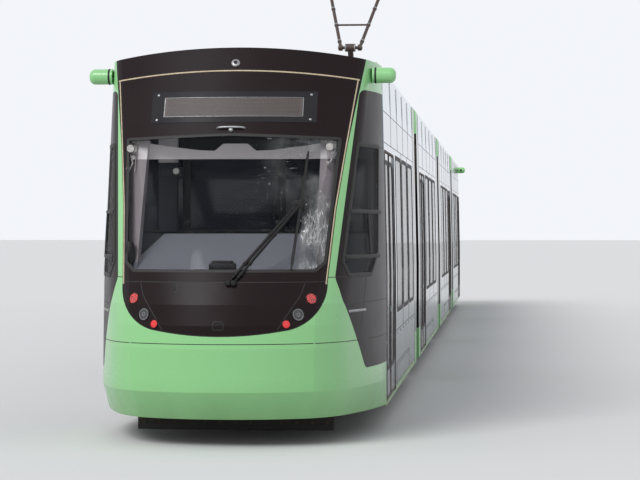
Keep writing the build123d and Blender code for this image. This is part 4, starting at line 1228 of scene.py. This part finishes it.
base_gear = Piece()
spring_low, spring_high, spring_z, spring_r = -2.84, -1.52, 3.462, 0.034
spring_turns, spring_steps, base_z, bracket_top = 26, 12, 3.418, 3.49
for side in (-1, 1):
    cap = [(0.045, 0.0), (0.045, 0.018), (0.030, 0.026), (0.012, 0.028)]
    base_gear.turned(foot_at + Vector((side * foot_cap_x, 0, 0)), (side, 0, 0), cap, 20)
    x = side * spring_x
    coil = []
    for i in range(spring_turns * spring_steps + 1):
        y = spring_low + 0.16 + (spring_high - spring_low - 0.32) * i / (spring_turns * spring_steps)
        a = 2 * math.pi * i / spring_steps
        coil.append((x + spring_r * math.cos(a), y, spring_z + spring_r * math.sin(a)))
    base_gear.tube(coil, 0.0075, 6)
    for low, high in ((spring_low, spring_low + 0.18), (spring_high - 0.18, spring_high)):
        base_gear.rod((x, low, spring_z), (x, high, spring_z), 0.012, 10)
    for y0, y1 in ((spring_low - 0.03, spring_low + 0.01), (spring_high - 0.01, spring_high + 0.03)):
        base_gear.box((x - 0.03, y0, base_z - 0.003), (x + 0.03, y1, bracket_top), 0.005)
for x, y in posts:
    for dx in (-0.028, 0.028):
        base_gear.turned((x + dx, y, base_z), up, [(0.010, 0.0), (0.010, 0.012), (0.006, 0.014)], 6)
base_gear.hang("collector_base_gear", alloy, (2,))

lower_gear = Piece()
far = (knee_at - foot_at).length
run = (knee_at - foot_at).normalized()
rise = run.cross(Vector((1, 0, 0))).normalized()
rise = rise if rise.z > 0 else -rise
lower_gear.tube([foot_at + run * s + rise * rod_rise for s in (0.30, far / 2, far - 0.22)], 0.014, 10)
for s in (0.34, far * 0.36, far * 0.68, far - 0.26):
    at = foot_at + run * s
    lower_gear.turned(at, run, hoop(0.043, 0.052, -0.014, 0.014), 24, True)
    lower_gear.turned(at + rise * rod_rise, run, hoop(0.013, 0.023, -0.014, 0.014), 16, True)
upper_gear = Piece()
hub = [(0.062, -0.01), (0.066, 0.0), (0.060, 0.010), (0.040, 0.012)]
nut = [(0.036, -0.006), (0.036, 0.006), (0.024, 0.014), (0.008, 0.016)]
for side in (-1, 1):
    out = Vector((side, 0, 0))
    lower_gear.turned(knee_at + out * knee_hub_x, out, hub, 28)
    upper_gear.turned(knee_at + out * knee_nut_x, out, nut, 6)
    a, b = knee_at + out * fork_low_x, head_at + out * fork_high_x
    for t in (0.10, 0.36, 0.62, 0.90):
        upper_gear.turned(a.lerp(b, t), b - a, hoop(0.025, 0.034, -0.016, 0.016), 20, True)
    upper_gear.turned(b + out * 0.012, out, hoop(0.020, 0.038, -0.05, -0.02), 20, True)
lower_gear.hang("lower_arm_gear", alloy, (2,), "collector_lower")
upper_gear.hang("upper_arm_gear", alloy, (2,), "collector_upper")

carbon = two_tone("carbon_strip", "collector_dark", (60.0, 6.0, (0.1, 1, 1)), (30, 30, 32), (72, 70, 70),
                  0.45, 0.2)
inlay = Piece()
strip_off, strip_half, strip_z = 0.16, 0.60, 6.004
for y in (head_at.y - strip_off, head_at.y + strip_off):
    inlay.box((-strip_half, y - 0.033, strip_z), (strip_half, y + 0.033, strip_z + 0.025), 0.004)
    for x in (-0.52, -0.25, 0.25, 0.52):
        inlay.box((x - 0.03, y - 0.036, strip_z - 0.018), (x + 0.03, y + 0.036, strip_z + 0.008), 0.003)
inlay.hang("carbon_inlays", carbon, (2,), "collector_head")

# Wheels. Bolted hub caps, the ring of bolts through each web and the rubber ring of the resilient
# tyre, on every wheelset.
half_base, axle_z, web_x, hub_x, cap_x = 0.9, 0.325, 0.770, 0.812, 0.838
web_bolts, hub_bolts = (0.178, 10), (0.087, 6, 0.5)
hub_cap = [(0.058, -0.012), (0.058, 0.004), (0.050, 0.012), (0.022, 0.016), (0.020, 0.013), (0.006, 0.013)]
tyre_rubber = [(0.222, -0.002), (0.241, -0.002), (0.241, 0.030), (0.233, 0.034), (0.222, 0.020)]


def bolt_ring(side, x, y, radius, count, start=0.0):
    # Places round an axle
    spots = [(radius * c, radius * s) for c, s in circle(count, start)]
    return [((side * x, y + dy, axle_z + dz), (side, 0, 0)) for dy, dz in spots]


for n in (1, 2, 3, 4):
    for k in (1, 2):
        # Past the middle of the car, the half turn swaps the two axles of a bogie
        source, ahead = (n, k) if n < 3 else (5 - n, 3 - k)
        y = bogie_mid[source] + (-half_base if ahead == 1 else half_base)
        caps, rings, bolts = Piece(), Piece(), []
        for side in (-1, 1):
            caps.turned((side * cap_x, y, axle_z), (side, 0, 0), hub_cap, 32)
            rings.turned((side * web_x, y, axle_z), (side, 0, 0), tyre_rubber, 48, True)
            bolts += bolt_ring(side, web_x, y, *web_bolts) + bolt_ring(side, hub_x, y, *hub_bolts)
        wheelset = "wheelset_%%d_%d" % k
        caps.hang("hub_caps_%d" % k, frames, (n,), wheelset)
        rings.hang("tyre_rubbers_%d" % k, rubber, (n,), wheelset)
        bolt = Pattern("wheel_bolt_%d_%d" % (n, k), washer_radius=0.017, washer_height=0.003,
                       head_radius=0.012, head_height=0.012)
        bolt.disc(16, "washer_").disc(6, "head_").set_on("wheel_bolts_%d" % k, bolts, alloy, (n,), wheelset)

# Bogie fittings: axle-box covers on the side beams, welded gussets, sand pipes beyond the wheels
# and the leads and bolts of the track brakes.
beam_x, box_x, shoe_x, shoe_half, shoe_z = 0.56, 0.614, (0.700, 0.800), 0.45, 0.082
box_cover = [(0.068, 0.0), (0.096, 0.0), (0.094, 0.014), (0.070, 0.018)]
gusset = [(0.262, 0.26), (0.262, 0.40), (0.42, 0.40), (0.42, 0.37)]
sand_pipe = [(beam_x, 1.05, 0.30), (beam_x, 1.16, 0.28), (0.62, 1.24, 0.24), (0.70, 1.27, 0.17),
             (0.74, 1.27, 0.09)]
brake_lead = [(0.60, 0.30), (0.66, 0.31), (0.71, 0.25), (0.74, 0.16), (0.74, 0.145)]
for n, twin in pairs:
    mid = bogie_mid[n]
    fittings, hoses, heads = Piece(), Piece(), []
    for side in (-1, 1):
        for q in (-1, 1):
            y = mid + q * half_base
            fittings.turned((side * box_x, y, axle_z), (side, 0, 0), box_cover, 28, True)
            fittings.plate([(side * 0.507, mid + q * dy, z) for dy, z in gusset], (-side * 0.012, 0, 0))
            x, y = side * beam_x, mid + q * 1.062
            fittings.box((x - 0.035, y - 0.006, 0.27), (x + 0.035, y + 0.006, 0.38))
            hoses.tube([(side * x, mid + q * dy, z) for x, dy, z in sand_pipe], 0.016, 10)
            heads += bolt_ring(side, box_x + 0.014, mid + q * half_base, 0.083, 6)
            x = side * (shoe_x[1] - 0.005)
            heads += [((x, mid + q * dy, 0.115), (side, 0, 0)) for dy in (0.30, 0.12)]
        hoses.tube([(side * x, mid, z) for x, z in brake_lead], 0.012, 10)
        for edge in (shoe_x[0] + 0.006, shoe_x[1] - 0.006):
            x0, x1 = side * edge - 0.006, side * edge + 0.006
            fittings.box((x0, mid - shoe_half, shoe_z - 0.018), (x1, mid + shoe_half, shoe_z), 0.003)
    fittings.hang("bogie_fittings", frames, (n, twin))
    hoses.hang("bogie_hoses", rubber, (n, twin))
    head = Pattern("bogie_bolt_%d" % n, radius=0.009, height=0.009)
    head.disc(6).set_on("bogie_bolts", heads, alloy, (n, twin))

# Underside. Pressed cross ribs below the low floors, a pair of pipes on hangers, and the rubber lip
# along the guard plate under each cab.
rib = [(-0.035, 0.262), (-0.022, 0.240), (0.022, 0.240), (0.035, 0.262)]
rib_half, pipe_x, pipe_z, bogie_room = 1.20, 0.82, 0.250, 1.66
for n, twin in pairs:
    ribs, pipes = Piece(), Piece()
    a, b = section_ends[n]
    a += {1: 0.1, 2: 1.1}[n]
    for low, high in ((a, bogie_mid[n] - bogie_room), (bogie_mid[n] + bogie_room, b - 1.25)):
        count = max(2, round((high - low) / 0.30))
        for k in range(count + 1):
            y = low + (high - low) * k / count
            ribs.plate([(-rib_half, y + dy, z) for dy, z in rib], (2 * rib_half, 0, 0))
        for x in (-pipe_x, pipe_x):
            pipes.rod((x, low, pipe_z), (x, high, pipe_z), 0.012, 10)
    ribs.hang("floor_ribs", frames, (n, twin), slot="underframe")
    pipes.hang("floor_pipes", alloy, (n, twin))
lip = Piece()
lip_y, lip_half, stud_step, stud_z = -17.275, 0.90, 0.14, 0.15
fold = [(0, 0.135), (0, 0.085), (0.007, 0.080), (0.013, 0.085), (0.013, 0.135)]
lip.plate([(-lip_half, lip_y + dy, z) for dy, z in fold], (2 * lip_half, 0, 0))
lip.hang("guard_lip", rubber)
studs = [((stud_step * k, lip_y - 0.002, stud_z), (0, -1, 0)) for k in range(-6, 7)]
stiff = Pattern("guard_bolt", washer_radius=0.016, washer_height=0.003, head_radius=0.010, head_height=0.010)
stiff.disc(16, "washer_").disc(6, "head_").set_on("guard_bolts", studs, frames)

# Clamping frames of the bellows: black steel bars round the section ends that hold the edge of
# the cloth, bolted all round.
clamp_x, clamp_low, clamp_high, clamp_r, bolt_low, bolt_step = 1.27, 0.215, 3.095, 0.135, 0.45, 0.24
for n, twin in pairs:
    clamp_ring, heads = Piece(), []
    a, b = section_ends[n]
    for y, facing in {1: [(b, 1)], 2: [(a, -1), (b, 1)]}[n]:
        out = Vector((0, facing, 0))
        loop = rounded(-clamp_x, clamp_x, clamp_low, clamp_high, clamp_r, 6)[:-1]
        loop = [(Vector((x, y + facing * 0.004, z)), out) for x, z in loop]
        clamp_ring.sweep(loop, band(0.015, 0.011, -0.004, 0.014, 0.018), closed=True)
        bolt_y = y + facing * 0.022
        uprights = [(x, bolt_low + bolt_step * k) for x in (-clamp_x, clamp_x) for k in range(11)]
        top_row = [(bolt_step * (k - 4.5), clamp_high) for k in range(10)]
        heads += [((x, bolt_y, z), out) for x, z in uprights + top_row]
    clamp_ring.hang("bellows_clamps", frames, (n, twin))
    head = Pattern("clamp_bolt_%d" % n, radius=0.008, height=0.008)
    head.disc(6).set_on("clamp_bolts", heads, alloy, (n, twin))

# Bellows. Folded black rubber cloth between the sections, clamped to both end frames. Each is one
# tunnel of folds.
cloth = Finish("bellows_cloth")
weave = cloth.noise(300.0, 2.0)
dusty = cloth.mix(cloth.noise(4.0, 6.0), (24, 23, 23), (52, 48, 44))
cloth.set(Base_Color=dusty, Roughness=0.7 + weave * 0.1)
cloth.bump(weave, 0.2, 0.001)
fold_n, fold_deep = 12, 0.022
bellows_x, bellows_z, bellows_high, bellows_r = 1.255, 1.655, 1.425, 0.12
corner_x, corner_z = bellows_x - bellows_r, bellows_high - bellows_r
for k, centre in ((1, -pitch), (2, 0.0), (3, pitch)):
    tunnel = Piece()
    loops = []
    for i in range(4 * fold_n + 1):
        y = centre - half_gap + 2 * half_gap * i / (4 * fold_n)
        r = bellows_r - fold_deep * (1 + math.cos(i * math.pi / 2))
        x, z = corner_x + r, corner_z + r
        loop = rounded(-x, x, bellows_z - z, bellows_z + z, r, 6)[:-1]
        loops.append(tunnel.ring([(x, y, z) for x, z in loop]))
    for a, b in zip(loops, loops[1:]):
        for j in range(len(a)):
            tunnel.mesh.faces.new((a[j], b[j], b[j - 1], a[j - 1]))
    bmesh.ops.recalc_face_normals(tunnel.mesh, faces=tunnel.mesh.faces)
    data = bpy.data.meshes.new("bellows_cloth_%d" % k)
    tunnel.mesh.to_mesh(data)
    tunnel.mesh.free()
    data.materials.append(cloth.mat)
    piece = bpy.data.objects.new(data.name, data)
    bpy.context.scene.collection.objects.link(piece)
    thick = piece.modifiers.new("thick", "SOLIDIFY")
    thick.thickness = 0.004
    thick.offset = -1
    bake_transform(piece)
    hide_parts("bellows_%d" % k)

# Floor, daylight and camera of the studio: a pale ground, an even sky and a soft sun from the
# front left.
ground = bpy.data.meshes.new("studio_floor")
ground.from_pydata([(-300, -300, 0), (300, -300, 0), (300, 300, 0), (-300, 300, 0)], [], [(0, 1, 2, 3)])
stage = bpy.data.objects.new("studio_floor", ground)
bpy.context.scene.collection.objects.link(stage)
ground.materials.append(Finish("studio_floor", Base_Color=(0.72, 0.72, 0.72, 1), Roughness=0.9).mat)

world = bpy.data.worlds.new("studio")
bpy.context.scene.world = world
world.use_nodes = True
sky = world.node_tree
rays = sky.nodes.new("ShaderNodeLightPath").outputs
seen = rays["Is Camera Ray"]
for ray in ("Is Glossy Ray", "Is Transmission Ray"):
    seen = build(sky, "ShaderNodeMath", [seen, rays[ray]], operation="ADD", use_clamp=True).outputs[0]
level = build(sky, "ShaderNodeMath", [seen, 0.35, 0.6], operation="MULTIPLY_ADD")
feed(sky, sky.nodes["Background"].inputs["Strength"], level.outputs[0])
feed(sky, sky.nodes["Background"].inputs["Color"], (0.94, 0.96, 1.0, 1))

sun = bpy.data.lights.new("key", "SUN")
sun.energy = 1.9
sun.angle = math.radians(30)
key = bpy.data.objects.new("key", sun)
key.rotation_euler = Vector((0.55, 1.0, -0.95)).to_track_quat("-Z", "Y").to_euler()
bpy.context.scene.collection.objects.link(key)

# The camera was fitted to the corners of the photographed end. Its focal length is in pixels of
# the photo.
focal_px, photo_w = 2174.98, 640
lens_data = bpy.data.cameras.new("camera")
lens_data.sensor_width = 36
lens_data.lens = focal_px / photo_w * lens_data.sensor_width
lens_data.clip_end = 1000
camera = bpy.data.objects.new("camera", lens_data)
camera.location = (2.4616, -36.974, 1.9237)
yaw, tilt = math.radians(4.8986), math.radians(-0.3235)
aim = Vector((-math.sin(yaw) * math.cos(tilt), math.cos(yaw) * math.cos(tilt), math.sin(tilt)))
camera.rotation_euler = aim.to_track_quat("-Z", "Y").to_euler()
bpy.context.scene.collection.objects.link(camera)
bpy.context.scene.camera = camera
bpy.context.scene.view_settings.view_transform = "Standard"
